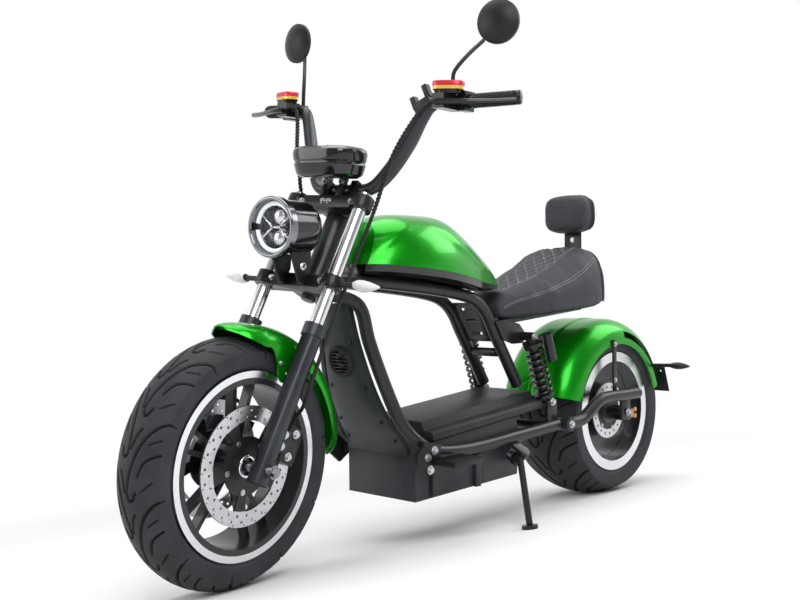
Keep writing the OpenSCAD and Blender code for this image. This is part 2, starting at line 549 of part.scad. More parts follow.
// Clamps that hold the bar on the upper fork clamp
module risers() color([0.1, 0.1, 0.1]) difference() {
    on_fork() both_sides() translate([-50, 30, upper_clamp_s + clamp_h / 2 + seat_gap]) cube([40, 18, 50]);
    on_bars() translate([bar_mid.x + bar_dip / 2, -80, bar_mid.z - bar_dip]) rotate([-90, 0, 0])
        cylinder(r = bar_mid_r + 2 * seat_gap, h = 160);
}
module grips() color([0.1, 0.1, 0.1]) on_bars() both_sides() difference() {
    rod(grip_in + grip_dir * 92, grip_out + grip_dir * 1, 16);
    rod(grip_in, grip_out + grip_dir * 30, grip_r + seat_gap);
}
module bar_hole() rod(grip_in - grip_dir * 30, grip_out, grip_r + 3 * seat_gap);
module master_cylinders() color([0.08, 0.08, 0.08]) on_bars() both_sides() difference() {
    translate([843, 210, 992]) cube([77, 30, 32]);
    bar_hole();
}
module levers() color([0.1, 0.1, 0.1]) on_bars() both_sides()
    tube([[926.3, 216, 1005], [926.3, 240, 1005], [906, 290, 1004], [880, 340, 1005], [858, 380, 1008]], 6, 3, 8,
        [0, 0, 1]);
module reservoirs() color([0.75, 0.12, 0.15]) on_bars() both_sides()
    translate([896, 225, 1024 + seat_gap]) cylinder(r = 18, h = 26);
module switch_pods() color([0.07, 0.07, 0.07]) on_bars() both_sides() difference() {
    translate([838, 243, 990]) cube([36, 21, 42]);
    bar_hole();
}
mirror_at = [800, 292, 1187];
mirror_yaw = 10;
mirror_r = 48;
mirror_depth = 15;
// The stem ends at the mirror's edge, in the mirror's own plane
stem_side = unit([-sin(mirror_yaw), cos(mirror_yaw), 1.2]);
stem_end = mirror_at - stem_side * (mirror_r + 1.6);
module mirror_stems() color([0.1, 0.1, 0.1]) on_bars() both_sides()
    tube([[854, 217, 1024.3], [854, 217, 1056], [851, 219, 1080], [830, 238, 1116], stem_end], 4.5, 3, 8, [1, 0, 0]);
// Round heads with a domed back towards the front
dome_r = (mirror_r * mirror_r + mirror_depth * mirror_depth) / (2 * mirror_depth);
module mirror_heads() color([0.12, 0.12, 0.13]) on_bars() both_sides()
    translate(mirror_at) rotate([0, 90, mirror_yaw]) {
        translate([0, 0, -5]) cylinder(r = mirror_r, h = 8);
        translate([0, 0, 3]) rotate_extrude() intersection() {
            translate([0, mirror_depth - dome_r]) circle(r = dome_r, $fn = 96);
            square([mirror_r, mirror_depth]);
        }
    }
module front_calipers() color([0.1, 0.1, 0.1]) on_fork() both_sides() difference() {
    union() {
        translate([-84, 54, 34]) cube([44, 34, 76]);
        translate([-44, 76, 48]) cube([30, 14, 46]);
    }
    translate([0, fork_half, 0]) cylinder(r = leg_r + seat_gap, h = 200);
}
hose_y = fork_half + 20.3;
hose_x = -22;
module bar_hoses() color([0.08, 0.08, 0.08]) on_fork() both_sides()
    tube([[20, 209.5, 842], [20, 194, 841], [22, 172, 806], [14, 142, 726], [-8, 121, 662], [hose_x, hose_y, 606],
        [hose_x, hose_y, 408], [hose_x, hose_y, 290], [-20, 118, 190], [-40, 100, 148], [-60, 74, 134],
        [-60, 74, 111]], 5, 4, 8, [1, 0, 0]);
// Front wheel
module front_tyre() color([0.14, 0.15, 0.17]) on_fork() revolve_y() intersection() {
    translate([front_tyre_r - front_crown, 0]) circle(r = front_crown, $fn = 96);
    for (side = [-1, 1]) translate([front_rim_r + 25, side * (90 - front_tyre_half)]) circle(r = 90, $fn = 96);
    polygon([[front_rim_r - 6, -46], [front_rim_r + 1, -46], [front_rim_r + 8, -60], [front_tyre_r + 5, -70],
        [front_tyre_r + 5, 70], [front_rim_r + 8, 60], [front_rim_r + 1, 46], [front_rim_r - 6, 46]]);
}
spoke_pairs = 5;
spoke_wide = 22;
disc_plane = 49;
module front_wheel_casting() color([0.12, 0.12, 0.13]) on_fork() difference() {
    union() {
        revolve_y() {
            translate([front_rim_r - 26, -54]) square([19.7, 108]);
            for (side = [-1, 1]) translate([front_rim_r - 20, side * 50.5 - 3.5]) square([20, 7]);
        }
        translate([0, spoke_wide / 2, 0]) rotate([90, 0, 0]) linear_extrude(spoke_wide) {
            circle(r = 36);
            for (i = [0:spoke_pairs - 1], side = [-1, 1]) rotate(360 / spoke_pairs * i + 9 * side)
                polygon([[20, -6], [front_rim_r - 16, -4.5], [front_rim_r - 16, 4.5], [20, 6]]);
        }
        disc_y(40, 2 * (disc_plane - 2 - seat_gap), -(disc_plane - 2 - seat_gap));
    }
    disc_y(axle_r + run_gap, 200, -100);
}
slots = 5;
disc_holes = 24;
module disc_plate() difference() {
    circle(r = 121, $fn = 96);
    for (i = [0:slots - 1]) rotate(72 * i) intersection() {
        difference() {
            circle(r = 91);
            circle(r = 60);
        }
        polygon([[0, 0], [120, -58], [120, 58]]);
    }
    circle(r = axle_r + 12);
    for (i = [0:disc_holes - 1], row = [0, 1]) rotate(360 / disc_holes * (i + row / 2))
        translate([99 + 12 * row, 0]) circle(r = 3, $fn = 16);
}
module front_discs() color([0.78, 0.79, 0.8]) on_fork() both_sides()
    translate([0, disc_plane + 2, 0]) rotate([90, 0, 0]) linear_extrude(4) disc_plate();
// Rear wheel with the hub motor
module rear_tyre() color([0.14, 0.15, 0.17]) parked() translate([0, 0, rear_axle_z]) revolve_y() intersection() {
    translate([rear_tyre_r - rear_crown, 0]) circle(r = rear_crown, $fn = 96);
    for (side = [-1, 1]) translate([rear_rim_r + 40, side * (120 - rear_tyre_half)]) circle(r = 120, $fn = 96);
    polygon([[rear_rim_r - 6, -88], [rear_rim_r + 1, -88], [rear_rim_r + 10, -104], [rear_tyre_r + 5, -120],
        [rear_tyre_r + 5, 120], [rear_rim_r + 10, 104], [rear_rim_r + 1, 88], [rear_rim_r - 6, 88]]);
}
module rear_hub_motor() color([0.6, 0.61, 0.63]) parked() translate([0, 0, rear_axle_z]) difference() {
    union() {
        revolve_y() {
            translate([rear_rim_r - 26, -96]) square([19.7, 192]);
            for (side = [-1, 1]) translate([rear_rim_r - 20, side * 92.5 - 3.5]) square([20, 7]);
        }
        disc_y(rear_rim_r - 25, 96, -48);
        disc_y(36, 152, -76);
    }
    disc_y(axle_r + run_gap, 400, -200);
}
module rear_disc() color([0.78, 0.79, 0.8]) parked() translate([0, 0, rear_axle_z]) difference() {
    disc_y(78, 4, 70);
    disc_y(36 + seat_gap, 20, 60);
}

// Like pieces that share a node
// Cross tubes, seat rails, plates and bosses on the frame
module frame_brackets() { frame_cross(); seat_rails(); rear_plate(); shock_brackets(); swing_pivots(); fender_stay(); }
// Battery box with its straps
module battery_case() { battery_box(); box_straps(); }
// Front panel with its vent
module front_panel() { leg_shield(); shield_vent(); }
// Saddle with its rear panel
module saddle_pads() { seat(); seat_cap(); }
// Backrest cushion with its back
module backrest() { backrest_pad(); backrest_shell(); }
// Rear shocks with their springs
module rear_shocks() { shocks(); shock_springs(); }
// Both fork clamps with the stem between them
module fork_clamps() { lower_clamp(); upper_clamp(); steering_stem(); }
// Brackets of the lamp, the pod and the bar
module front_brackets() { headlight_bracket(); display_bracket(); risers(); }
// Brake cylinders, their cups, levers and switches
module bar_controls() { master_cylinders(); reservoirs(); levers(); switch_pods(); }
// Mirrors on their stems
module mirrors() { mirror_stems(); mirror_heads(); }

head_tube();
frame_tubes();
frame_brackets();
front_panel();
battery_case();
floor_deck();
tank();
tank_trim();
saddle_pads();
backrest_post();
backrest();
rear_shocks();
swingarm();
rear_axle();
rear_fender();
rear_signals();
tail_light();
plate_bracket();
rear_caliper();
footrests();
stand_bracket();
side_stand();
fork_clamps();
stanchions();
fork_legs();
front_axle();
front_fender();
headlight_bucket();
headlight_ring();
headlight_lens();
front_brackets();
front_signals();
display_pod();
handlebar();
bar_controls();
grips();
mirrors();
front_calipers();
bar_hoses();
front_tyre();
front_wheel_casting();
front_discs();
rear_tyre();
rear_hub_motor();
rear_disc();
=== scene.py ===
"""Looks of the electric chopper scooter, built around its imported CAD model."""
import math

import bmesh
import bpy
import numpy as np
from mathutils import Matrix, Vector


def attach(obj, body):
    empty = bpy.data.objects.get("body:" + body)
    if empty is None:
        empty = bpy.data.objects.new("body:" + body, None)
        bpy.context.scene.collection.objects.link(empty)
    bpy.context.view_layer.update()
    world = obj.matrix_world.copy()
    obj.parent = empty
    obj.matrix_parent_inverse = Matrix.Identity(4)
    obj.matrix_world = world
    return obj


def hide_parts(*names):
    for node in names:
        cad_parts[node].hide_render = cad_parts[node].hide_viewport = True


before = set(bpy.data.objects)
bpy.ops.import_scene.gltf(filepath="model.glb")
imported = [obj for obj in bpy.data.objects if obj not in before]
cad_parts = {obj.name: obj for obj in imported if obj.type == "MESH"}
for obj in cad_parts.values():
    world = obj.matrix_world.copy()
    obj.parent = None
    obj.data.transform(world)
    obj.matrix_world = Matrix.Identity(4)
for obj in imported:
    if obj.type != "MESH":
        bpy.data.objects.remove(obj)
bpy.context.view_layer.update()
MM = 0.001

# Sizes of the vehicle in millimetres, in its own upright frame: X forward, Y left, Z up
WHEELBASE = 1280
FRONT_R = 255
FRONT_HALF = 58
FRONT_RIM = 190
FRONT_CROWN = 75
REAR_R = 238
REAR_HALF = 105
REAR_RIM = 166
REAR_CROWN = 200
RAKE = 28
FORK_OFFSET = 45
FORK_HALF = 92
STEER = 7.6
LEAN = 8
ORIGIN = (623.5, 144.03)
LAMP_AT = (1168, 0, 729)
LOWER_CLAMP = 408
UPPER_CLAMP = 600


def turn(axis, degrees):
    """A rotation about one of the axes."""
    return Matrix.Rotation(math.radians(degrees), 4, axis)


def move(x, y, z):
    """A shift in millimetres."""
    return Matrix.Translation((x, y, z))


# Places of the steered fork and of the parked vehicle
FORK = (move(WHEELBASE, 0, FRONT_R) @ turn("Y", -RAKE) @ move(-FORK_OFFSET, 0, 0) @ turn("Z", STEER)
        @ move(FORK_OFFSET, 0, 0))
BARS = FORK @ turn("Y", RAKE) @ move(-WHEELBASE, 0, -FRONT_R)


def tyre_low(centre, axis, radius, crown):
    """The lowest point of a leaned tyre above the floor."""
    tilt = turn("X", -LEAN)
    middle = tilt @ centre
    side = tilt.to_3x3() @ axis
    return middle.z - (radius - crown) * math.sqrt(1 - side.z * side.z) - crown


rear_drop = -tyre_low(Vector((0, 0, REAR_R)), Vector((0, 1, 0)), REAR_R, REAR_CROWN)
front_drop = -tyre_low(FORK @ Vector((0, 0, 0)), FORK.to_3x3() @ Vector((0, 1, 0)), FRONT_R, FRONT_CROWN)
park_pitch = math.degrees(math.asin((rear_drop - front_drop) / WHEELBASE))
PARK = move(-ORIGIN[0], -ORIGIN[1], rear_drop) @ turn("Y", park_pitch) @ turn("X", -LEAN)
TO_METRES = Matrix.Scale(MM, 4)
ON_FRAME = TO_METRES @ PARK
ON_FORK = TO_METRES @ PARK @ FORK
ON_BARS = TO_METRES @ PARK @ BARS
ON_LAMP = ON_BARS @ move(*LAMP_AT)
ON_REAR_WHEEL = ON_FRAME @ move(0, 0, REAR_R)


# Camera, fitted to the photograph in the upright frame and carried along with the lean
CAMERA_AT = (2556, 1712, 619)
CAMERA_YAW = 223.81
CAMERA_PITCH = -1.17
CAMERA_ROLL = 0.72
CAMERA_LENS = 47.34
CAMERA_SENSOR = 36
CAMERA_FAR = 100


def add_object(name, data):
    """A new object in the scene."""
    made = bpy.data.objects.new(name, data)
    bpy.context.scene.collection.objects.link(made)
    return made


def make_camera():
    """The camera at the photograph's place."""
    yaw = math.radians(CAMERA_YAW)
    pitch = math.radians(CAMERA_PITCH)
    roll = math.radians(CAMERA_ROLL)
    ahead = Vector((math.cos(pitch) * math.cos(yaw), math.cos(pitch) * math.sin(yaw), math.sin(pitch)))
    right = ahead.cross(Vector((0, 0, 1))).normalized()
    down = ahead.cross(right).normalized()
    rolled_right = math.cos(roll) * right + math.sin(roll) * down
    rolled_down = -math.sin(roll) * right + math.cos(roll) * down
    place = Matrix.Identity(4)
    for row in range(3):
        place[row][0] = rolled_right[row]
        place[row][1] = -rolled_down[row]
        place[row][2] = -ahead[row]
        place[row][3] = CAMERA_AT[row]
    parked = PARK @ place
    spot = parked.to_translation() * MM
    data = bpy.data.cameras.new("camera")
    data.lens = CAMERA_LENS
    data.sensor_width = CAMERA_SENSOR
    data.clip_end = CAMERA_FAR
    camera = add_object("camera", data)
    camera.matrix_world = Matrix.Translation(spot) @ parked.to_3x3().to_4x4()
    bpy.context.scene.camera = camera


# Materials
class Value:
    """A socket of a node tree, with arithmetic that adds Math nodes."""

    def __init__(self, nodes, socket):
        self.nodes = nodes
        self.socket = socket

    def __add__(self, other):
        return self.nodes.math("ADD", self, other)

    __radd__ = __add__

    def __sub__(self, other):
        return self.nodes.math("SUBTRACT", self, other)

    def __rsub__(self, other):
        return self.nodes.math("SUBTRACT", other, self)

    def __mul__(self, other):
        return self.nodes.math("MULTIPLY", self, other)

    __rmul__ = __mul__

    def __abs__(self):
        return self.nodes.math("ABSOLUTE", self, 0.0)


class Nodes:
    """A node tree, with short ways to add to it."""

    def __init__(self, tree):
        self.tree = tree

    def make(self, kind, settings, values, out=0):
        """Add a node with its settings and its sockets' values or links."""
        node = self.tree.nodes.new(kind)
        for key, value in settings.items():
            setattr(node, key, value)
        for key, value in values.items():
            self.link(value, node.inputs[key])
        return Value(self, node.outputs[out])

    def link(self, value, socket):
        """Feed a value or a link into a socket."""
        if isinstance(value, Value):
            self.tree.links.new(value.socket, socket)
        else:
            socket.default_value = value

    def math(self, operation, a, b):
        """A Math node of two values."""
        return self.make("ShaderNodeMath", {"operation": operation}, {0: a, 1: b})

    def length(self, a, b):
        """The length of two parts at right angles."""
        return self.math("SQRT", a * a + b * b, 0.0)

    def split(self, point):
        """The three parts of a vector."""
        node = self.tree.nodes.new("ShaderNodeSeparateXYZ")
        self.link(point, node.inputs[0])
        return [Value(self, node.outputs[i]) for i in range(3)]

    def step(self, value, low, high):
        """A smooth step from 0 to 1 between two values."""
        return self.make("ShaderNodeMapRange", {"interpolation_type": "SMOOTHSTEP"},
                         {"Value": value, "From Min": low, "From Max": high})

    def rays(self):
        """Whether a ray comes from the camera, from a gloss or through a clear lens."""
        return [self.make("ShaderNodeLightPath", {}, {}, ray) for ray in SEEN]

    def blend(self, factor, first, second, output):
        """Send a blend of two shaders to an output."""
        mixed = self.tree.nodes.new("ShaderNodeMixShader")
        self.link(factor, mixed.inputs[0])
        self.tree.links.new(first.outputs[0], mixed.inputs[1])
        self.tree.links.new(second.outputs[0], mixed.inputs[2])
        self.tree.links.new(mixed.outputs[0], self.tree.nodes[output].inputs[0])


class Finish(Nodes):
    """A material made of nodes."""

    def __init__(self, name, **constants):
        self.material = bpy.data.materials.new(name)
        self.material.use_nodes = True
        super().__init__(self.material.node_tree)
        self.shader = self.tree.nodes["Principled BSDF"]
        self.set(**constants)

    def coordinates(self, place=None):
        """Object coordinates, in a piece's own frame where its place is given."""
        point = self.make("ShaderNodeTexCoord", {}, {}, "Object")
        if place is None:
            return point
        back = place.inverted()
        scale = back.to_scale()
        turned = back.to_euler()
        return self.make("ShaderNodeMapping", {"vector_type": "POINT"},
                         {"Vector": point, "Location": back.to_translation(), "Rotation": turned,
                          "Scale": scale})

    def noise(self, point, scale, detail=3.0):
        """Fine noise from 0 to 1."""
        return self.make("ShaderNodeTexNoise", {}, {"Vector": point, "Scale": scale, "Detail": detail})

    def cells(self, point, scale, feature="F1"):
        """The distance to the nearest of many cells."""
        return self.make("ShaderNodeTexVoronoi", {"feature": feature}, {"Vector": point, "Scale": scale})

    def mix(self, factor, first, second):
        """A blend of two colours."""
        settings = {"data_type": "RGBA"}
        values = {0: factor, 6: self.colour(first), 7: self.colour(second)}
        return self.make("ShaderNodeMix", settings, values, 2)

    def colour(self, value):
        """A colour with its alpha, or a link as it is."""
        return value if isinstance(value, Value) else (*value, 1.0)

    def mottle(self, grain):
        """Broad blotches, fine specks and the tone that they make together."""
        point = self.coordinates()
        blotch = self.noise(point, 14.0, 4.0)
        speck = self.noise(point, grain, 2.0)
        return blotch, speck, self.step(blotch * 0.65 + speck * 0.35, 0.3, 0.7)

    def set(self, **sockets):
        """Feed the shader's sockets."""
        for socket, value in sockets.items():
            self.link(value, self.shader.inputs[socket.replace("_", " ")])
        return self

    def bump(self, height, depth, strength=1.0):
        """A bump from a height."""
        bump = self.make("ShaderNodeBump", {}, {"Strength": strength, "Distance": depth, "Height": height})
        return self.set(Normal=bump)


def make_paint(name, deep, bright, rough):
    """Metallic car paint: fine flakes under a clear coat."""
    paint = Finish(name, Metallic=0.68, Coat_Weight=0.42, Coat_Roughness=0.04, Coat_IOR=1.4,
                   Specular_IOR_Level=0.25)
    point = paint.coordinates()
    flakes = paint.cells(point, 1400.0)
    broad = paint.noise(point, 5.0)
    shade = paint.step(flakes * 0.7 + broad * 0.5, 0.15, 0.95)
    paint.set(Base_Color=paint.mix(shade, deep, bright), Roughness=rough + flakes * 0.12)
    peel = paint.noise(point, 260.0, 1.0)
    return paint.bump(peel, 0.00012, 0.25)


def make_plain(name, dark, light, rough, grain=700.0, depth=0.00015, metallic=0.0, coat=0.0, spread=0.18,
               shine=0.3):
    """A painted or moulded finish: mottled colour, uneven gloss and a fine grain."""
    plain = Finish(name, Metallic=metallic, Coat_Weight=coat, Coat_Roughness=0.08, Specular_IOR_Level=shine)
    blotch, speck, tone = plain.mottle(grain)
    plain.set(Base_Color=plain.mix(tone, dark, light), Roughness=rough - spread / 2 + blotch * spread)
    return plain.bump(speck, depth, 0.5)


def make_tyre_finish(name, dark, light):
    """Tyre rubber, with painted shade darkening the cuts of its tread."""
    rubber = Finish(name, Specular_IOR_Level=0.3)
    blotch, speck, tone = rubber.mottle(1100.0)
    # The cut attribute holds each point's groove depth; it paints shade into the grooves, near-black at
    # their bottoms.
    cut = rubber.make("ShaderNodeAttribute", {"attribute_name": "cut"}, {}, "Fac")
    colour = rubber.mix(tone, dark, light)
    rubber.set(Base_Color=rubber.mix(cut, colour, (0.002, 0.002, 0.0024)),
               Roughness=0.5 + blotch * 0.14 + cut * 0.25)
    return rubber.bump(speck, 0.0004, 0.5)


def make_leather(name, dark, light):
    """Grained leather: small cells with soft creases."""
    leather = Finish(name, Specular_IOR_Level=0.42)
    point = leather.coordinates()
    wobble = leather.noise(point, 60.0, 3.0)
    pebbles = leather.cells(point, 420.0, "DISTANCE_TO_EDGE")
    worn = leather.noise(point, 9.0, 4.0)
    tone = leather.step(worn * 0.6 + pebbles * 1.2, 0.25, 0.85)
    leather.set(Base_Color=leather.mix(tone, dark, light), Roughness=0.53 - pebbles * 0.25 + worn * 0.06)
    return leather.bump(leather.step(pebbles, 0.0, 0.22) + wobble * 0.3, 0.0005, 0.6)


def make_brushed(name, dark, light, rough, grain=(40.0, 900.0, 900.0)):
    """Metal with fine lines along X."""
    metal = Finish(name, Metallic=1.0)
    point = metal.coordinates()
    stretched = metal.make("ShaderNodeMapping", {}, {"Vector": point, "Scale": grain})
    lines = metal.noise(stretched, 1.0, 2.0)
    cloud = metal.noise(point, 18.0, 3.0)
    metal.set(Base_Color=metal.mix(cloud, dark, light), Roughness=rough - 0.08 + lines * 0.16)
    return metal.bump(lines, 0.00004, 0.3)


def make_wheel_finish(name, place, lip_from, side_from, dark, bright):
    """Black wheel metal with a turned, polished lip at the rim's edges."""
    wheel = Finish(name, Coat_Weight=0.3, Coat_Roughness=0.1)
    point = wheel.coordinates(place)
    x, y, z = wheel.split(point)
    radius = wheel.length(x, z)
    lip = wheel.step(radius, lip_from, lip_from + 0.6) * wheel.step(abs(y), side_from, side_from + 0.6)
    turned = wheel.math("SINE", radius * 9.0, 0.0)
    grain = wheel.noise(point, 0.35, 3.0)
    base = wheel.mix(grain, dark, [c * 1.9 for c in dark])
    wheel.set(Base_Color=wheel.mix(lip, base, bright), Metallic=0.35 + lip * 0.65,
              Roughness=0.34 - lip * 0.2 + grain * 0.08 + turned * 0.015)
    return wheel.bump(turned * lip + grain * 0.6, 0.00005, 0.3)


def make_disc_finish(name, place, face_from, holes, hole_at, hole_r):
    """Brake disc steel: turned rings with dark holes painted in as the shade seen through drilled bores, and
    a dark carrier in the middle.
    """
    disc = Finish(name)
    point = disc.coordinates(place)
    x, _, z = disc.split(point)
    radius = disc.length(x, z)
    face = disc.step(radius, face_from, face_from + 1.0)
    rings = disc.math("SINE", radius * 6.0, 0.0)
    cloud = disc.noise(point, 0.06, 3.0)
    # Painted shade: a ring of dark spots stands in for the drilled holes, which are not cut.
    turns = disc.math("ARCTAN2", z, x) * (holes / (2 * math.pi)) + 0.25
    aside = (disc.math("FRACT", turns + 40.0, 0.0) - 0.5) * (2 * math.pi / holes) * radius
    gap = disc.length(aside, radius - hole_at)
    painted_hole_shade = 1.0 - disc.step(gap, hole_r - 0.4, hole_r + 0.4)
    metal = face * (1.0 - painted_hole_shade)
    steel = disc.mix(cloud, (0.48, 0.48, 0.5), (0.66, 0.66, 0.68))
    disc.set(Base_Color=disc.mix(metal, (0.01, 0.01, 0.011), steel), Metallic=0.2 + metal * 0.8,
             Roughness=0.42 - metal * 0.14 + rings * 0.03)
    return disc.bump(rings, 0.00003, 0.3)


def make_reservoir_finish(name, low, high):
    """Anodised fluid cup: black foot, yellow band and red cap."""
    cup = Finish(name, Metallic=0.4, Coat_Weight=0.4, Specular_IOR_Level=0.3)
    point = cup.coordinates(ON_BARS)
    _, _, z = cup.split(point)
    band = cup.step(z, low - 0.4, low + 0.4)
    cap = cup.step(z, high - 0.4, high + 0.4)
    grain = cup.noise(point, 0.5, 2.0)
    lower = cup.mix(band, (0.01, 0.01, 0.011), (0.75, 0.5, 0.06))
    colour = cup.mix(cap, lower, (0.62, 0.03, 0.06))
    cup.set(Base_Color=colour, Roughness=0.28 + grain * 0.12)
    return cup.bump(grain, 0.00005, 0.3)


def make_glow(name, colour, strength):
    """A lit diffuser with a slightly uneven glow."""
    glow = Finish(name, Roughness=0.4, Emission_Strength=strength)
    grain = glow.noise(glow.coordinates(), 200.0)
    tone = glow.mix(grain, [c * 0.9 for c in colour], colour)
    return glow.set(Base_Color=tone, Emission_Color=tone)


def make_clear(name, colour, rough, alpha):
    """Clear moulded lens: mostly see-through, with a fine ripple."""
    clear = Finish(name, IOR=1.4, Coat_Weight=0.4, Alpha=alpha)
    point = clear.coordinates()
    ripple = clear.noise(point, 120.0, 1.0)
    clear.set(Base_Color=clear.mix(ripple, colour, [min(1.0, c * 1.08) for c in colour]),
              Roughness=rough + ripple * 0.04)
    return clear.bump(ripple, 0.0001, 0.2)


PAINT = make_paint("green_paint", (0.0003, 0.12, 0.001), (0.0015, 0.4, 0.003), 0.24)
FRAME_PAINT = make_plain("frame_paint", (0.009, 0.0095, 0.011), (0.019, 0.02, 0.023), 0.38, 500.0, 0.0001,
                         0.2, 0.2)
FORK_PAINT = make_plain("fork_paint", (0.018, 0.0205, 0.025), (0.036, 0.04, 0.048), 0.38, 500.0, 0.0001,
                        0.3, 0.2)
PANEL = make_plain("panel_plastic", (0.018, 0.0195, 0.023), (0.034, 0.036, 0.041), 0.44, 1200.0, 0.0002)
FLOOR_MAT = make_plain("floor_plastic", (0.013, 0.0138, 0.016), (0.025, 0.0265, 0.03), 0.5, 900.0, 0.0003)
GLOSS_BLACK = make_plain("gloss_black", (0.003, 0.003, 0.0035), (0.008, 0.008, 0.009), 0.14, 300.0,
                         0.00004, 0.0, 0.6, 0.08)
BLACK = make_plain("black_parts", (0.006, 0.006, 0.0068), (0.014, 0.014, 0.0155), 0.42, 900.0, 0.0002)
CAST = make_plain("cast_black", (0.007, 0.007, 0.0078), (0.018, 0.018, 0.02), 0.36, 600.0, 0.0002, 0.4, 0.2)
RUBBER = make_plain("grip_rubber", (0.007, 0.007, 0.0072), (0.016, 0.016, 0.0165), 0.66, 1500.0, 0.0003)
TYRE = make_tyre_finish("tyre_rubber", (0.014, 0.015, 0.0175), (0.03, 0.032, 0.037))
LEATHER = make_leather("saddle_leather", (0.014, 0.0158, 0.0195), (0.04, 0.044, 0.054))
LEATHER_DARK = make_leather("panel_leather", (0.008, 0.0085, 0.0098), (0.022, 0.0235, 0.027))
THREAD = make_plain("pale_thread", (0.3, 0.3, 0.31), (0.55, 0.55, 0.57), 0.7, 2500.0, 0.0003)
CHROME = make_brushed("chrome", (0.72, 0.73, 0.75), (0.86, 0.87, 0.89), 0.12)
RING = make_brushed("ring_chrome", (0.16, 0.165, 0.175), (0.28, 0.285, 0.3), 0.14)
STEEL = make_brushed("steel", (0.42, 0.42, 0.44), (0.6, 0.6, 0.62), 0.32)
COPPER = make_brushed("copper_metal", (0.42, 0.22, 0.1), (0.6, 0.34, 0.17), 0.34)
SPRING = make_plain("spring_black", (0.005, 0.005, 0.0055), (0.013, 0.013, 0.014), 0.34, 500.0, 0.0001,
                    0.0, 0.25)
LENS = make_clear("lamp_glass", (0.2, 0.21, 0.23), 0.03, 0.05)
SIGNAL = make_clear("signal_lens", (0.78, 0.78, 0.78), 0.06, 0.86)
RED_LENS = make_clear("red_lens", (0.5, 0.008, 0.012), 0.12, 0.97)
HALO = make_glow("halo_diffuser", (0.75, 0.78, 0.82), 0.45)
FRONT_WHEEL = make_wheel_finish("front_wheel_metal", ON_FORK, 176.0, 47.5, (0.012, 0.012, 0.013),
                                (0.74, 0.75, 0.77))
REAR_WHEEL = make_wheel_finish("rear_wheel_metal", ON_REAR_WHEEL, 138.5, 49.0, (0.02, 0.02, 0.022),
                               (0.72, 0.73, 0.75))
FRONT_DISC = make_disc_finish("front_disc_steel", ON_FORK, 89.0, 24, 117.5, 1.6)
REAR_DISC = make_disc_finish("rear_disc_steel", ON_REAR_WHEEL, 53.0, 18, 66.0, 3.4)
CUP = make_reservoir_finish("fluid_cup", 1033.0, 1040.0)
MIRROR = make_brushed("mirror_glass", (0.8, 0.82, 0.85), (0.88, 0.9, 0.92), 0.09)

NODE_FINISHES = {
    PAINT: ["tank", "rear_fender", "front_fender"],
    FRAME_PAINT: ["head_tube", "frame_tubes", "frame_brackets", "backrest_post", "swingarm",
                  "stand_bracket", "rear_axle", "side_stand"],
    FORK_PAINT: ["fork_legs", "handlebar"],
    PANEL: ["front_panel", "battery_case"],
    FLOOR_MAT: ["floor_deck"],
    GLOSS_BLACK: ["tank_trim", "headlight_bucket", "display_pod"],
    BLACK: ["plate_bracket", "footrests", "front_brackets", "rear_signals", "mirrors"],
    CAST: ["fork_clamps", "front_calipers"],
    RUBBER: ["grips", "bar_hoses"],
    TYRE: ["front_tyre", "rear_tyre"],
    LEATHER: ["saddle_pads", "backrest"],
    CHROME: ["stanchions"],
    RING: ["headlight_ring"],
    STEEL: ["front_axle"],
    COPPER: ["rear_caliper"],
    SPRING: ["rear_shocks"],
    LENS: ["headlight_lens"],
    SIGNAL: ["front_signals"],
    RED_LENS: ["tail_light"],
    FRONT_WHEEL: ["front_wheel_casting"],
    REAR_WHEEL: ["rear_hub_motor"],
    FRONT_DISC: ["front_discs"],
    REAR_DISC: ["rear_disc"],
    CUP: ["bar_controls"],
}


def dress_nodes():
    """Give each CAD node its finish."""
    for finish, names in NODE_FINISHES.items():
        for name in names:
            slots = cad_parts[name].data.materials
            slots.clear()
            slots.append(finish.material)


# Meshes
def shade(piece, sharp=None):
    """Shade a piece smooth, with its edges kept sharp above an angle where one is given."""
    piece.data.polygons.foreach_set("use_smooth", [True] * len(piece.data.polygons))
    if sharp:
        piece.data.set_sharp_from_angle(angle=math.radians(sharp))


def settle(piece, body, node=None):
    """Hang a piece on the body that it rides on, and hide the CAD node that it replaces."""
    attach(piece, body)
    if node:
        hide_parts(node)


def make_piece(name, points, faces, finish, body, place):
    """A new piece from points in millimetres, riding on a body."""
    mesh = bpy.data.meshes.new(name)
    mesh.from_pydata([tuple(place @ Vector(p)) for p in points], [], faces)
    mesh.validate()
    mesh.materials.append(finish.material)
    piece = add_object(name, mesh)
    shade(piece)
    if body:
        settle(piece, body)
    return piece


def soften(piece, edge, angle):
    """Round the edges of a piece that are sharper than an angle."""
    bevel = piece.modifiers.new("edges", "BEVEL")
    bevel.width = edge * MM
    bevel.segments = 2
    bevel.limit_method = "ANGLE"
    bevel.angle_limit = math.radians(angle)
    apply_modifiers(piece)


def circle(count):
    """Angles all the way round, in equal steps."""
    return np.arange(count) * 2 * math.pi / count


def about_y(radius, y, degrees):
    """A point on a circle about the Y axis."""
    a = math.radians(degrees)
    return (radius * math.cos(a), y, radius * math.sin(a))


def grid_faces(rows, columns, wrap_rows=False, wrap_columns=False):
    """Quads over a grid of points, closed round in one or both directions."""
    faces = []
    for i in range(rows if wrap_rows else rows - 1):
        for j in range(columns if wrap_columns else columns - 1):
            k = (i + 1) % rows
            m = (j + 1) % columns
            faces.append((i * columns + j, k * columns + j, k * columns + m, i * columns + m))
    return faces


def recalculate(piece):
    """Merge doubles and turn the faces outwards."""
    work = bmesh.new()
    work.from_mesh(piece.data)
    bmesh.ops.remove_doubles(work, verts=work.verts, dist=1e-6)
    bmesh.ops.recalc_face_normals(work, faces=work.faces)
    work.to_mesh(piece.data)
    work.free()


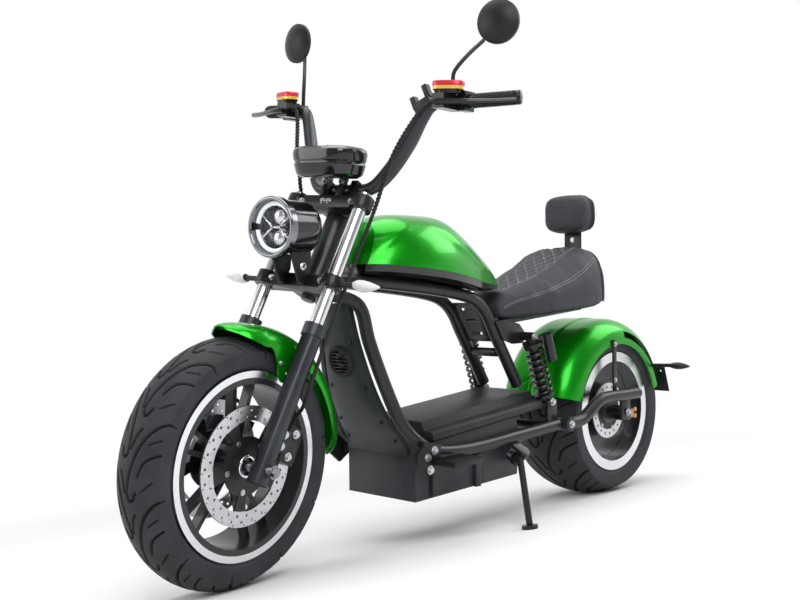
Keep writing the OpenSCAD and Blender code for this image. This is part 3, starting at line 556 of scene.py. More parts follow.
def lathe(name, profile, finish, body, place, steps=64, axis="X"):
    """A closed profile of (along, radius) points, turned round an axis."""
    points = []
    for i in range(steps):
        angle = 2 * math.pi * i / steps
        for along, radius in profile:
            a = radius * math.cos(angle)
            b = radius * math.sin(angle)
            points.append((along, a, b) if axis == "X" else (a, along, b))
    piece = make_piece(name, points, grid_faces(steps, len(profile), True, True), finish, body, place)
    recalculate(piece)
    return piece


def tube_piece(name, paths, radius, finish, body, place, sides=10):
    """Round rods along lines of points, with closed ends."""
    points = []
    faces = []
    for path in paths:
        spine = [Vector(p) for p in path]
        base = len(points)
        side = None
        for i, p in enumerate(spine):
            ahead = (spine[min(i + 1, len(spine) - 1)] - spine[max(i - 1, 0)]).normalized()
            if side is None:
                side = ahead.orthogonal().normalized()
            side = (side - ahead * side.dot(ahead)).normalized()
            other = ahead.cross(side)
            for j in range(sides):
                angle = 2 * math.pi * j / sides
                points.append(tuple(p + radius * (math.cos(angle) * side + math.sin(angle) * other)))
        for i in range(len(spine) - 1):
            for j in range(sides):
                k = (j + 1) % sides
                row = base + i * sides
                faces.append((row + j, row + k, row + sides + k, row + sides + j))
        faces.append(tuple(base + j for j in reversed(range(sides))))
        last = base + (len(spine) - 1) * sides
        faces.append(tuple(last + j for j in range(sides)))
    return make_piece(name, points, faces, finish, body, place)


# Tyres with their cut treads
BEAD_DEPTH = 5.5
BEAD_RISE = 1.2
WALL_FROM = 8
WALL_STEPS = 14
CROWN_POINTS = 71
SHOULDER_SHARE = 0.985
TREAD_REACH = 12
CUT_EASE = 0.9
CUT_SLOPE = 1.2


def arc_profile(radius, crown, half, rim, bead_half, edge, side_r, count):
    """Points across a tyre from bead to bead: side wall, crown and side wall, as (radius, across)."""
    across = np.linspace(-half, half, count)
    heights = [rim + WALL_FROM + (edge - rim - WALL_FROM) * i / WALL_STEPS for i in range(WALL_STEPS)]
    widest = shoulder_middle(rim, half)

    def wall(r):
        return half - side_r + math.sqrt(max(side_r ** 2 - (r - widest) ** 2, 0))

    out = [(rim - BEAD_DEPTH, -bead_half), (rim + BEAD_RISE, -bead_half)]
    out += [(r, -wall(r)) for r in heights]
    for y in across:
        r = radius - crown + math.sqrt(crown ** 2 - y ** 2)
        if r >= edge - 1e-6:
            out.append((r, y))
    out += [(r, wall(r)) for r in reversed(heights)]
    return out + [(rim + BEAD_RISE, bead_half), (rim - BEAD_DEPTH, bead_half)]


def shoulder_middle(rim, half):
    """The radius at which a side wall is widest."""
    return rim + (25 if half < 80 else 40)


def segment_distance(u, v, a, b):
    """Distance of grid points from a segment of a groove's line."""
    du = b[0] - a[0]
    dv = b[1] - a[1]
    t = np.clip(((u - a[0]) * du + (v - a[1]) * dv) / (du * du + dv * dv), 0, 1)
    return np.hypot(u - a[0] - t * du, v - a[1] - t * dv)


def make_tyre(name, node, radius, crown, half, rim, bead_half, side_r, grooves, repeats, depth, body,
              place, steps):
    """A tyre whose tread is pressed into a fine skin along each groove's line."""
    middle = shoulder_middle(rim, half)
    edge_y = half * SHOULDER_SHARE
    edge = radius - crown + math.sqrt(crown ** 2 - edge_y ** 2)
    side_limit = math.sqrt(max(side_r ** 2 - (edge_y - half + side_r) ** 2, 0))
    edge = max(min(edge, middle + side_limit), middle)
    profile = arc_profile(radius, crown, half, rim, bead_half, edge, side_r, CROWN_POINTS)
    r = np.array([p[0] for p in profile])
    y = np.array([p[1] for p in profile])
    pitch = 2 * math.pi * radius / repeats
    turns = np.arange(steps) / steps * 2 * math.pi
    u = (turns[:, None] * radius) % pitch + 0 * y[None, :]
    v = 0 * turns[:, None] + y[None, :]
    cut = np.zeros_like(u)
    for points, width in grooves:
        line = smooth_line(points, 3)
        for shift in (-pitch, 0, pitch):
            for a, b in zip(line[:-1], line[1:]):
                first = (a[0] * pitch + shift, a[1] * half)
                second = (b[0] * pitch + shift, b[1] * half)
                gap = segment_distance(u, v, first, second)
                cut = np.maximum(cut, np.clip((width / 2 + CUT_EASE - gap) / CUT_SLOPE, 0, 1))
    depth_map = np.where((r > edge - TREAD_REACH)[None, :], cut * depth, 0)
    radii = r[None, :] - depth_map
    points = np.stack([radii * np.cos(turns)[:, None], v, radii * np.sin(turns)[:, None]],
                      axis=-1).reshape(-1, 3)
    faces = grid_faces(steps, len(profile), True, True)
    piece = make_piece(name, [tuple(p) for p in points], faces, TYRE, body, place)
    # Groove depth share, kept for the tyre finish, which paints shade into the cuts with it.
    dark = piece.data.attributes.new("cut", "FLOAT", "POINT")
    dark.data.foreach_set("value", (depth_map / depth).ravel())
    recalculate(piece)
    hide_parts(node)


LONG_CUT = [(0.12, 0.36), (0.03, 0.25), (0.03, 0.12), (0.12, 0.05), (0.3, 0.1), (0.55, 0.27), (0.78, 0.5),
            (0.95, 0.8), (1.0, 0.97)]
SHORT_CUT = [(0.32, 0.42), (0.5, 0.6), (0.6, 0.95)]
NICK = [(0.62, 0.06), (0.78, 0.17), (0.86, 0.28)]
SIPES = [[(0.14, 0.55), (0.26, 0.84)], [(0.7, 0.62), (0.78, 0.9)]]


def tread(wide, narrow, thin):
    """The cuts of one repeat, on the left and, half a repeat on, on the right."""
    left = [(LONG_CUT, wide), (SHORT_CUT, narrow), (NICK, narrow)] + [(sipe, thin) for sipe in SIPES]
    return left + [([(u + 0.5, -v) for u, v in line], width) for line, width in left]


def make_tyres():
    """Both tyres."""
    make_tyre("front_tyre_tread", "front_tyre", FRONT_R, FRONT_CROWN, FRONT_HALF, FRONT_RIM, 46, 90,
              tread(4.6, 3.6, 1.8), 10, 5.5, "front_wheel", ON_FORK, 900)
    make_tyre("rear_tyre_tread", "rear_tyre", REAR_R, REAR_CROWN, REAR_HALF, REAR_RIM, 88, 120,
              tread(5.6, 4.4, 2.2), 8, 5.5, "rear_wheel", ON_REAR_WHEEL, 800)


# Padded pieces
def bulge(value, power):
    """A signed power, for rounded sections."""
    return math.copysign(abs(value) ** (2 / power), value)


def ring_loft(rings):
    """Points and faces of a skin over closed rings, with flat ends."""
    count = len(rings[0])
    points = [p for ring in rings for p in ring]
    faces = grid_faces(len(rings), count, False, True)
    faces.append(tuple(range(count)))
    last = (len(rings) - 1) * count
    faces.append(tuple(last + j for j in reversed(range(count))))
    return points, faces


VOXEL = 0.006
CLOTH_FRAMES = 20
CLOTH = {"quality": 5, "tension_stiffness": 25, "compression_stiffness": 25, "bending_stiffness": 2,
         "use_pressure": True}


def swell(piece, cap, pressure):
    """Swell a pad like sewn leather over foam, with a limit on how far a point moves."""
    remesh = piece.modifiers.new("remesh", "REMESH")
    remesh.mode = "VOXEL"
    remesh.voxel_size = VOXEL
    apply_modifiers(piece)
    start = np.array([v.co[:] for v in piece.data.vertices])
    cloth = piece.modifiers.new("cloth", "CLOTH")
    for key, value in CLOTH.items():
        setattr(cloth.settings, key, value)
    cloth.settings.uniform_pressure_force = pressure
    cloth.settings.effector_weights.gravity = 0
    cloth.point_cache.frame_start = 1
    cloth.point_cache.frame_end = CLOTH_FRAMES
    for number in range(1, CLOTH_FRAMES + 1):
        bpy.context.scene.frame_set(number)
    apply_modifiers(piece)
    now = np.array([v.co[:] for v in piece.data.vertices])
    shift = now - start
    length = np.linalg.norm(shift, axis=1, keepdims=True)
    scale = np.minimum(1.0, cap / np.maximum(length, 1e-9))
    capped = start + shift * scale
    piece.data.vertices.foreach_set("co", capped.ravel())
    bpy.context.scene.frame_set(1)
    relax(piece, 2)
    subdivide = piece.modifiers.new("fine", "SUBSURF")
    subdivide.levels = 1
    subdivide.render_levels = 1
    apply_modifiers(piece)
    shade(piece)


def apply_modifiers(piece):
    """Turn the evaluated piece into its own plain mesh."""
    graph = bpy.context.evaluated_depsgraph_get()
    done = bpy.data.meshes.new_from_object(piece.evaluated_get(graph))
    piece.modifiers.clear()
    piece.data = done


def relax(piece, rounds):
    """Even out a remeshed skin."""
    work = bmesh.new()
    work.from_mesh(piece.data)
    for _ in range(rounds):
        bmesh.ops.smooth_vert(work, verts=work.verts, factor=0.5, use_axis_x=True, use_axis_y=True,
                              use_axis_z=True)
    work.to_mesh(piece.data)
    work.free()


SEAT_STATIONS = [(478, 512, 548, 66), (440, 514, 580, 88), (380, 519, 600, 110), (310, 524, 622, 126),
                 (240, 530, 650, 135), (175, 535, 682, 138), (120, 540, 700, 133), (88, 543, 696, 126)]
SEAT_INSET = 4


def spread(stations, x):
    """The values between two stations along the saddle."""
    xs = [s[0] for s in stations][::-1]
    return [float(np.interp(x, xs, [s[k] for s in stations][::-1])) for k in range(1, len(stations[0]))]


DIAMOND = 40
DIAMOND_LEAN = 1.15
SEAM_WIDTH = 4.5
SEAM_DEPTH = 3.2
QUILT_HALF = 54
QUILT_BACK = 118
QUILT_FRONT = 425
QUILT_LOW = 540
QUILT_MARGIN = 12


def quilt_edge(x):
    """Half width of the quilted middle."""
    return float(np.interp(x, [QUILT_BACK, 200, 330, QUILT_FRONT], [50, QUILT_HALF, 50, 30]))


def quilt_distance(x, y):
    """Distance of a point on the saddle from the nearest diamond seam."""
    a = (x + y * DIAMOND_LEAN) / DIAMOND
    b = (x - y * DIAMOND_LEAN) / DIAMOND
    slope = math.hypot(1, DIAMOND_LEAN)
    return min(abs(a - round(a)), abs(b - round(b))) * DIAMOND / slope


def press_quilt(piece):
    """Press the diamond seams and the border seam into the saddle's top."""
    back = ON_FRAME.inverted()
    up = (ON_FRAME.to_3x3() @ Vector((0, 0, 1))).normalized()
    for vertex in piece.data.vertices:
        p = back @ vertex.co
        if p.z < QUILT_LOW or not QUILT_BACK - QUILT_MARGIN < p.x < QUILT_FRONT + QUILT_MARGIN:
            continue
        edge = quilt_edge(p.x)
        inside = abs(p.y) < edge and QUILT_BACK < p.x < QUILT_FRONT
        gap = quilt_distance(p.x, p.y) if inside else math.inf
        border = abs(abs(p.y) - edge)
        near = max(math.exp(-((gap / SEAM_WIDTH) ** 2)), math.exp(-((border / SEAM_WIDTH) ** 2)))
        groove = near * SEAM_DEPTH
        vertex.co -= up * groove * MM


# Distance forward, lower and upper height and half width of the saddle's rear panel
PANEL_PAD = [(87.5, 545, 690, 122), (74, 548, 684, 116), (62.6, 556, 668, 100)]
# Distance forward, half width, lower and upper height of the backrest's two pieces
CUSHION_PAD = [(109, 56, 754, 834), (102, 67, 745, 843), (80, 71, 741, 847), (63, 69, 743, 845)]
BACK_PAD = [(57, 68, 744, 844), (48, 68, 744, 844), (36, 58, 754, 834)]


def arch_rings(stations, side_inset, top_inset):
    """Rings of a rounded arch with a flat foot."""
    part = 22
    rings = []
    for x, low, high, half in stations:
        ring = []
        for j in range(part + 1):
            angle = math.pi * j / part
            ring.append((x, (half - side_inset) * bulge(math.cos(angle), 4),
                         low + 1 + (high - top_inset - low) * bulge(math.sin(angle), 3.2)))
        rings.append(ring)
    return rings


def cushion_rings(stations):
    """Rings of a rounded cushion."""
    rings = []
    for x, half, low, high in stations:
        ring = []
        for j in range(32):
            angle = 2 * math.pi * j / 32
            ring.append((x, half * bulge(math.cos(angle), 4),
                         (low + high) / 2 + (high - low) / 2 * bulge(math.sin(angle), 4)))
        rings.append(ring)
    return rings


def make_pad(name, node, rings, finish, limit, pressure, press=None):
    """One padded piece: a skin over rings, swollen and, where asked, pressed in along its seams."""
    points, faces = ring_loft(rings)
    pad = make_piece(name, points, faces, finish, None, ON_FRAME)
    recalculate(pad)
    swell(pad, limit, pressure)
    if press:
        press(pad)
    settle(pad, "chassis", node)


def make_pads():
    """Saddle, its rear panel and the backrest, all padded."""
    make_pad("saddle", "saddle_pads", arch_rings(SEAT_STATIONS, SEAT_INSET, SEAT_INSET), LEATHER, 0.006, 4.0,
             press_quilt)
    make_pad("saddle_rear_panel", "saddle_pads", arch_rings(PANEL_PAD, 2, 3), LEATHER_DARK, 0.002, 2.0)
    make_pad("backrest_cushion", "backrest", cushion_rings(CUSHION_PAD), LEATHER, 0.003, 3.0)
    make_pad("backrest_back", "backrest", cushion_rings(BACK_PAD), LEATHER_DARK, 0.003, 3.0)


# Headlight inside
REFLECTOR = [(-6, 54), (-20, 50), (-40, 36), (-48, 4), (-51, 4), (-44, 38), (-23, 53), (-6.5, 54.8)]
HALO_R = 49.3
DIVIDER_R = 44
DIVIDER_ROOT = 9
PROJECTOR_R = 18.5
PROJECTOR_UP = 22.5


def make_headlight():
    """Reflector, halo, dividers and projector lenses behind the lens."""
    lathe("headlight_reflector", REFLECTOR, GLOSS_BLACK, "fork", ON_LAMP)
    halo = []
    for low, high in ((8, 172), (188, 352)):
        halo.append([(-2.5, HALO_R * math.cos(math.radians(a)), HALO_R * math.sin(math.radians(a)))
                     for a in np.linspace(low, high, 40)])
    tube_piece("headlight_halo", halo, 4.8, HALO, "fork", ON_LAMP)
    arms = []
    for angle in (32, 148, 212, 328):
        a = math.radians(angle)
        root = math.copysign(DIVIDER_ROOT, math.cos(a))
        arms.append([(-4, root, 0), (-5, DIVIDER_R * math.cos(a), DIVIDER_R * math.sin(a))])
    arms.append([(-4, -DIVIDER_ROOT, 0), (-4, DIVIDER_ROOT, 0)])
    tube_piece("headlight_dividers", arms, 2.5, CHROME, "fork", ON_LAMP, 6)
    dome = [(-7 - 13 * (1 - math.cos(t)), PROJECTOR_R * math.sin(t))
            for t in np.linspace(0.05, math.pi / 2, 12)]
    dome += [(-21, PROJECTOR_R + 2), (-34, PROJECTOR_R + 2), (-34, 0.6)]
    for side, name in ((1, "upper"), (-1, "lower")):
        place = ON_LAMP @ move(0, 0, side * PROJECTOR_UP)
        lathe("headlight_projector_" + name, dome, CHROME, "fork", place)


# Smooth skins of the swept and lofted pieces
def smooth_line(points, steps):
    """A smooth line through points of any number of values, with a number of steps between each pair."""
    p = np.array(points, dtype=float)
    last = len(p) - 1
    out = []
    for i in range(last):
        a = p[max(i - 1, 0)]
        b = p[i]
        c = p[i + 1]
        d = p[min(i + 2, last)]
        for s in range(steps):
            t = s / steps
            out.append(0.5 * (2 * b + (c - a) * t + (2 * a - 5 * b + 4 * c - d) * t * t
                              + (3 * b - a - 3 * c + d) * t ** 3))
    out.append(p[last])
    return np.array(out)


def sweep_rings(path, facing, sides):
    """Rings of a flattened tube along points that carry their half width and half thickness."""
    spine = path[:, :3]
    rings = []
    for i in range(len(path)):
        ahead = spine[min(i + 1, len(path) - 1)] - spine[max(i - 1, 0)]
        ahead = ahead / np.linalg.norm(ahead)
        u = np.cross(facing, ahead)
        u = u / np.linalg.norm(u)
        v = np.cross(ahead, u)
        turns = 2 * np.pi * np.arange(sides) / sides
        ring = spine[i] + path[i, 3] * np.cos(turns)[:, None] * u + path[i, 4] * np.sin(turns)[:, None] * v
        rings.append(ring.tolist())
    return rings


def mirrored(rings):
    """The same rings on the other side of the vehicle."""
    return [[(p[0], -p[1], p[2]) for p in ring] for ring in rings]


def skin_piece(name, node, shapes, finish, body, place, sharp=40):
    """One piece from several skins over rings, with its edges kept sharp above an angle."""
    points = []
    faces = []
    for rings in shapes:
        base = len(points)
        more, some = ring_loft(rings)
        points += more
        faces += [tuple(base + k for k in face) for face in some]
    piece = make_piece(name, points, faces, finish, body, place)
    recalculate(piece)
    shade(piece, sharp)
    if node:
        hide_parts(node)


def axis_x(z):
    """The steering axis at a height."""
    rake = math.radians(RAKE)
    return WHEELBASE - FORK_OFFSET / math.cos(rake) - (z - FRONT_R) * math.tan(rake)


TUBE_R = 15
HEAD_R = 27
UPPER_HALF = 55
RAIL_HALF = 125
ARM_Y = 138
UPPER_LINE = [(axis_x(624) - HEAD_R + 0.8, 18, 613), (930, 46, 614), (876, UPPER_HALF, 609),
              (726, UPPER_HALF, 594), (610, UPPER_HALF, 577), (556, UPPER_HALF, 558),
              (520, UPPER_HALF, 527), (490, UPPER_HALF, 480), (445, UPPER_HALF, 414),
              (398, UPPER_HALF, 342)]
LOWER_LINE = [(axis_x(600) - HEAD_R - 6, 26, 586), (962, 58, 560), (945, 72, 480), (915, 90, 380),
              (880, 102, 300), (842, RAIL_HALF - 5, 252), (790, RAIL_HALF, 228), (670, RAIL_HALF, 219),
              (480, RAIL_HALF, 228), (319.6, RAIL_HALF, 236)]
ARM_LINE = [(280.5, ARM_Y, 238), (255, ARM_Y, 238), (222, ARM_Y, 243), (176, ARM_Y, 267), (136, ARM_Y, 286),
            (90, ARM_Y, 289), (20, ARM_Y, 288), (-50, ARM_Y, 288)]
BAR_LINE = [(948, 0, 816, 14, 14), (948, 50, 816, 14, 14), (942, 82, 826, 13, 17), (924, 110, 862, 12, 21),
            (904, 141, 920, 12, 21), (890, 165, 976, 12, 18), (881, 184, 1003, 13, 14),
            (868, 219, 1008.7, 11, 11), (816, 366, 1020, 11, 11)]


def round_line(line, radius):
    """Points of a round tube's line with its radius."""
    return [(*p, radius, radius) for p in line]


def make_tubes():
    """Frame tubes, swing arm and handlebar."""
    sideways = np.array([0, 1, 0])
    frame_rings = [sweep_rings(smooth_line(round_line(line, TUBE_R), 8), sideways, 24)
                   for line in (UPPER_LINE, LOWER_LINE)]
    frame_rings += [mirrored(rings) for rings in frame_rings]
    skin_piece("frame_tube_skin", "frame_tubes", frame_rings, FRAME_PAINT, "chassis",
               ON_FRAME)
    arm = sweep_rings(smooth_line(round_line(ARM_LINE, 16), 8), sideways, 24)
    skin_piece("swing_arm_skin", "swingarm", [arm, mirrored(arm)], FRAME_PAINT, "chassis",
               ON_FRAME)
    right = [(p[0], -p[1], *p[2:]) for p in BAR_LINE[:0:-1]]
    bar = sweep_rings(smooth_line(right + BAR_LINE, 10), np.array([1, 0, 0.4]), 24)
    skin_piece("handlebar_skin", "handlebar", [bar], FORK_PAINT, "fork", ON_BARS)


# Tank cover: distance forward, half width, height of the crown, lean of the section and depth of the trim
TANK_PLAN = [(948, 70, 96, 0.53, 1), (915, 100, 108, 0.45, 1), (870, 121, 119, 0.3, 1),
             (815, 132, 126, 0.15, 1), (755, 133, 132, 0, 1), (690, 124, 136, 0, 1), (625, 108, 116, 0, 1),
             (560, 88, 88, 0, 0.9), (495, 62, 54, 0, 0.6), (436, 30, 14, 0, 0.25)]
TRIM_H = 22
TRIM_GAP = 0.3
TUBE_GAP = 0.6
TANK_ROUND = 2.5
CREASE = [(436, 0.3), (560, 0.36), (650, 0.44), (705, 0.54), (745, 0.7), (790, 0.84), (840, 0.82),
          (895, 0.55), (948, 0.2)]
CREASE_DEPTH = 4
FADE_BACK = (470, 560)
FADE_FRONT = (915, 946)


def tube_top(x):
    """The top of the upper frame tubes."""
    heights = [(436, 571), (560, 583), (610, 577 + TUBE_R), (726, 594 + TUBE_R), (876, 609 + TUBE_R),
               (930, 614 + TUBE_R), (1000, 613 + TUBE_R)]
    return float(np.interp(x, [h[0] for h in heights], [h[1] for h in heights]))


def ease(value, low, high):
    """A smooth step from 0 to 1."""
    t = min(max((value - low) / (high - low), 0), 1)
    return t * t * (3 - 2 * t)


def make_tank():
    """Tank cover with its knee scallops, and the dark trim below it."""
    plan = smooth_line([(p[0], tube_top(p[0]) + TUBE_GAP + TRIM_H + TRIM_GAP, *p[1:]) for p in TANK_PLAN],
                       10)
    around = 72
    crease = smooth_line(CREASE, 8)
    rings = []
    trims = []
    for x, low, half, high, lean, deep in plan:
        ring = []
        line = float(np.interp(x, crease[:, 0], crease[:, 1]))
        fade = ease(x, *FADE_BACK) * (1 - ease(x, *FADE_FRONT))
        for j in range(around + 1):
            angle = math.pi * j / around
            up = bulge(math.sin(angle), TANK_ROUND)
            side = bulge(math.cos(angle), TANK_ROUND)
            below = (1 - ease(up, line - 0.14, line + 0.1)) * ease(up, 0.0, line * 0.9)
            pull = CREASE_DEPTH * fade * below * ease(abs(side), 0.15, 0.5)
            z = high * up
            ring.append((x - lean * z, half * side - math.copysign(pull, side), low + z))
        rings.append(ring)
        top = low - TRIM_GAP
        trims.append([(x, half - 2, top), (x, -half + 2, top), (x, -half + 5, top - deep * TRIM_H * 0.7),
                      (x, -half + 14, top - deep * TRIM_H), (x, half - 14, top - deep * TRIM_H),
                      (x, half - 5, top - deep * TRIM_H * 0.7)])
    skin_piece("tank_cover", "tank", [rings], PAINT, "chassis", ON_FRAME, 60)
    skin_piece("tank_trim_strip", "tank_trim", [trims], GLOSS_BLACK, "chassis", ON_FRAME, 30)


# Front panel and its vent
PANEL_STATIONS = [(566, 976, 36), (480, 966, 52), (380, 938, 68), (300, 900, 80), (255, 868, 90),
                  (236, 856.3, 94), (224, 856.3, 95)]
PANEL_THICK = 14
PANEL_BOW = 8
PANEL_ROUND = 3.2
VENT_AT = (963, 0, 436)
VENT_TURN = 106
VENT_R = 30


def make_front_panel():
    """Front panel of moulded plastic, with a ribbed round vent."""
    rings = []
    for z, x, half in smooth_line(PANEL_STATIONS, 6):
        front = [(x + PANEL_BOW * (1 - abs(t) ** PANEL_ROUND), half * t, z)
                 for t in np.linspace(1, -1, 25)]
        rings.append([(x - PANEL_THICK, -half, z), (x - PANEL_THICK, half, z)] + front)
    skin_piece("front_panel_skin", "front_panel", [rings], PANEL, "chassis", ON_FRAME, 35)
    place = ON_FRAME @ move(*VENT_AT) @ turn("Y", VENT_TURN - 90) @ move(-2, 0, 0)
    ring = [(2, VENT_R + 7), (7, VENT_R + 6), (9, VENT_R + 2), (8, VENT_R - 3), (3, VENT_R - 5),
            (1, VENT_R - 5), (0, VENT_R + 6)]
    lathe("vent_ring", ring, RUBBER, "chassis", place)
    lathe("vent_floor", [(3, 0.4), (3, VENT_R - 4), (0.5, VENT_R - 4), (0.5, 0.4)], GLOSS_BLACK, "chassis",
          place)
    bars = []
    for height in range(-20, 21, 8):
        reach = math.sqrt((VENT_R - 4) ** 2 - height ** 2)
        bars.append([(6, -reach, height), (6, reach, height)])
    tube_piece("vent_bars", bars, 2.2, BLACK, "chassis", place)


# Instrument pod, leaf-shaped signals and spiral-wrapped hoses
POD_AT = (1000, 0, 874)
POD_RINGS = [(-34, 42, 60), (-30, 49, 68), (-26, 52, 72), (-6, 57, 77), (-3, 55.5, 75.5), (0, 55.5, 75.5),
             (3, 58, 78), (18, 60, 80), (26, 58, 78), (31, 53, 73), (34, 43, 63)]
SIGNAL_STATIONS = [(0, 6, 6), (34, 6, 6), (40, 12, 8), (52, 17, 11), (66, 16, 11), (84, 10, 7.5),
                   (102, 2, 2)]
# Distance from the middle plane, place and half sizes of the rear signals' sections
REAR_SIGNAL = [(92, -202, 353, 5.5, 5.5), (148, -206, 355, 5.5, 5.5), (158, -207, 355, 9, 7),
               (170, -207, 355, 15, 9.5), (184, -207, 355, 15, 10), (202, -207, 355, 9, 6.5),
               (215.5, -207, 355, 2, 2)]
SIGNAL_FOOT = FORK_HALF + 15.5 + 9.3
HOSE_LINE = [(20, 209.5, 842), (20, 194, 841), (22, 172, 806), (14, 142, 726), (-8, 121, 662),
             (-22, 112.3, 606), (-22, 112.3, 408), (-22, 112.3, 290), (-20, 118, 190), (-40, 100, 148),
             (-60, 74, 134), (-60, 74, 111)]
HOSE_R = 4
WRAP_R = 1.7
WRAP_PITCH = 9
WRAP_POINTS = 52


def make_pod():
    """Glossy instrument pod."""
    rings = []
    for z, long, wide in POD_RINGS:
        rings.append([(POD_AT[0] + long * bulge(math.cos(a), 3.4), wide * bulge(math.sin(a), 3.4),
                       POD_AT[2] + z) for a in circle(64)])
    skin_piece("pod_case", "display_pod", [rings], GLOSS_BLACK, "fork", ON_BARS, 28)


def make_signals():
    """Turn signals: dark stalks with clear leaf-shaped lenses in front, dark leaf-shaped cases behind."""
    stalks = []
    lenses = []
    for line, store in ((SIGNAL_STATIONS[:3], stalks), (SIGNAL_STATIONS[2:], lenses)):
        rings = []
        for out, wide, tall in smooth_line(line, 6):
            rings.append([(wide * math.cos(a), SIGNAL_FOOT + out, LOWER_CLAMP + tall * math.sin(a))
                          for a in circle(28)])
        store += [rings, mirrored(rings)]
    rear = []
    for y, x, z, wide, tall in smooth_line(REAR_SIGNAL, 6):
        rear.append([(x + wide * math.cos(a), y, z + tall * math.sin(a)) for a in circle(28)])
    skin_piece("rear_signal_cases", "rear_signals", [rear, mirrored(rear)], BLACK, "chassis",
               ON_FRAME, 60)
    skin_piece("signal_stalks", "front_signals", stalks, BLACK, "fork", ON_FORK)
    skin_piece("signal_lenses", "front_signals", lenses, SIGNAL, "fork", ON_FORK, 60)


def wrap_line(path):
    """A helix round a hose."""
    steps = np.linalg.norm(np.diff(path, axis=0), axis=1)
    run = np.concatenate([[0], np.cumsum(steps)])
    out = []
    for s in np.arange(0, run[-1], WRAP_PITCH / 10):
        centre = np.array([np.interp(s, run, path[:, k]) for k in range(3)])
        near = np.array([np.interp(min(s + 2, run[-1]), run, path[:, k]) for k in range(3)])
        back = np.array([np.interp(max(s - 2, 0), run, path[:, k]) for k in range(3)])
        ahead = (near - back) / np.linalg.norm(near - back)
        u = np.cross([1, 0.2, 0.1], ahead)
        u = u / np.linalg.norm(u)
        v = np.cross(ahead, u)
        angle = 2 * math.pi * s / WRAP_PITCH
        out.append(centre + (HOSE_R - 0.2) * (math.cos(angle) * u + math.sin(angle) * v))
    return [tuple(p) for p in out]


def make_hoses():
    """Brake hoses with their spiral wrap on the upper stretch."""
    path = smooth_line(HOSE_LINE, 10)
    sides = [path, path * np.array([1, -1, 1])]
    lines = [[tuple(p) for p in side] for side in sides]
    hoses = tube_piece("brake_hoses", lines, HOSE_R, RUBBER, "fork", ON_FORK)
    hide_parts("bar_hoses")
    upper = path[:WRAP_POINTS]
    wraps = [wrap_line(upper), wrap_line(upper * np.array([1, -1, 1]))]
    tube_piece("hose_wraps", wraps, WRAP_R, BLACK, "fork", ON_FORK, 6)


# Grips, their ends and the mirror glass
GRIP_IN = Vector((880, 184, 1006))
GRIP_OUT = Vector((816, 366, 1020))
GRIP_FROM = 92
GRIP_RIBS = 17
GRIP_R = 15.9
GROOVE_R = 14.9
GRIP_BORE = 11.3
MIRROR_AT = (800, 292, 1187)
MIRROR_YAW = 10
MIRROR_R = 48


def along(start, end):
    """A place whose X axis runs from one point to another."""
    ahead = (end - start).normalized()
    side = Vector((0, 0, 1)).cross(ahead).normalized()
    up = ahead.cross(side)
    place = Matrix((ahead, side, up)).transposed().to_4x4()
    place.translation = start
    return place


def make_grips():
    """Ribbed rubber grips with black ends, and the mirrors' glass."""
    length = (GRIP_OUT - GRIP_IN).length
    pitch = (length - GRIP_FROM - 16) / GRIP_RIBS
    profile = [(GRIP_FROM, GRIP_BORE), (GRIP_FROM, 15.6), (GRIP_FROM + 2, 16)]
    for i in range(GRIP_RIBS):
        x = GRIP_FROM + 4 + i * pitch
        profile += [(x, GRIP_R), (x + pitch * 0.3, GRIP_R), (x + pitch * 0.42, GROOVE_R),
                    (x + pitch * 0.88, GROOVE_R)]
    profile += [(length - 12, GRIP_R), (length - 11, GRIP_BORE)]
    cap = [(length - 11, 11.4), (length - 11, 15.4), (length - 2, 15.4), (length + 0.9, 13.5),
           (length + 0.9, 0.5), (length, 0.5), (length, 11.2)]
    pane = [(-5.6, 0.4), (-5.6, MIRROR_R - 3), (-4.9, MIRROR_R - 2.6), (-4.9, 0.4)]
    for side, name in ((1, "left"), (-1, "right")):
        flip = Vector((1, side, 1))
        place = ON_BARS @ along(GRIP_IN * flip, GRIP_OUT * flip)
        grip = lathe("grip_" + name, profile, RUBBER, "fork", place, 40)
        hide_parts("grips")
        lathe("bar_end_" + name, cap, CAST, "fork", place, 40)
        head = move(MIRROR_AT[0], side * MIRROR_AT[1], MIRROR_AT[2])
        glass = ON_BARS @ head @ turn("Z", side * MIRROR_YAW)
        lathe("mirror_glass_" + name, pane, MIRROR, "fork", glass)


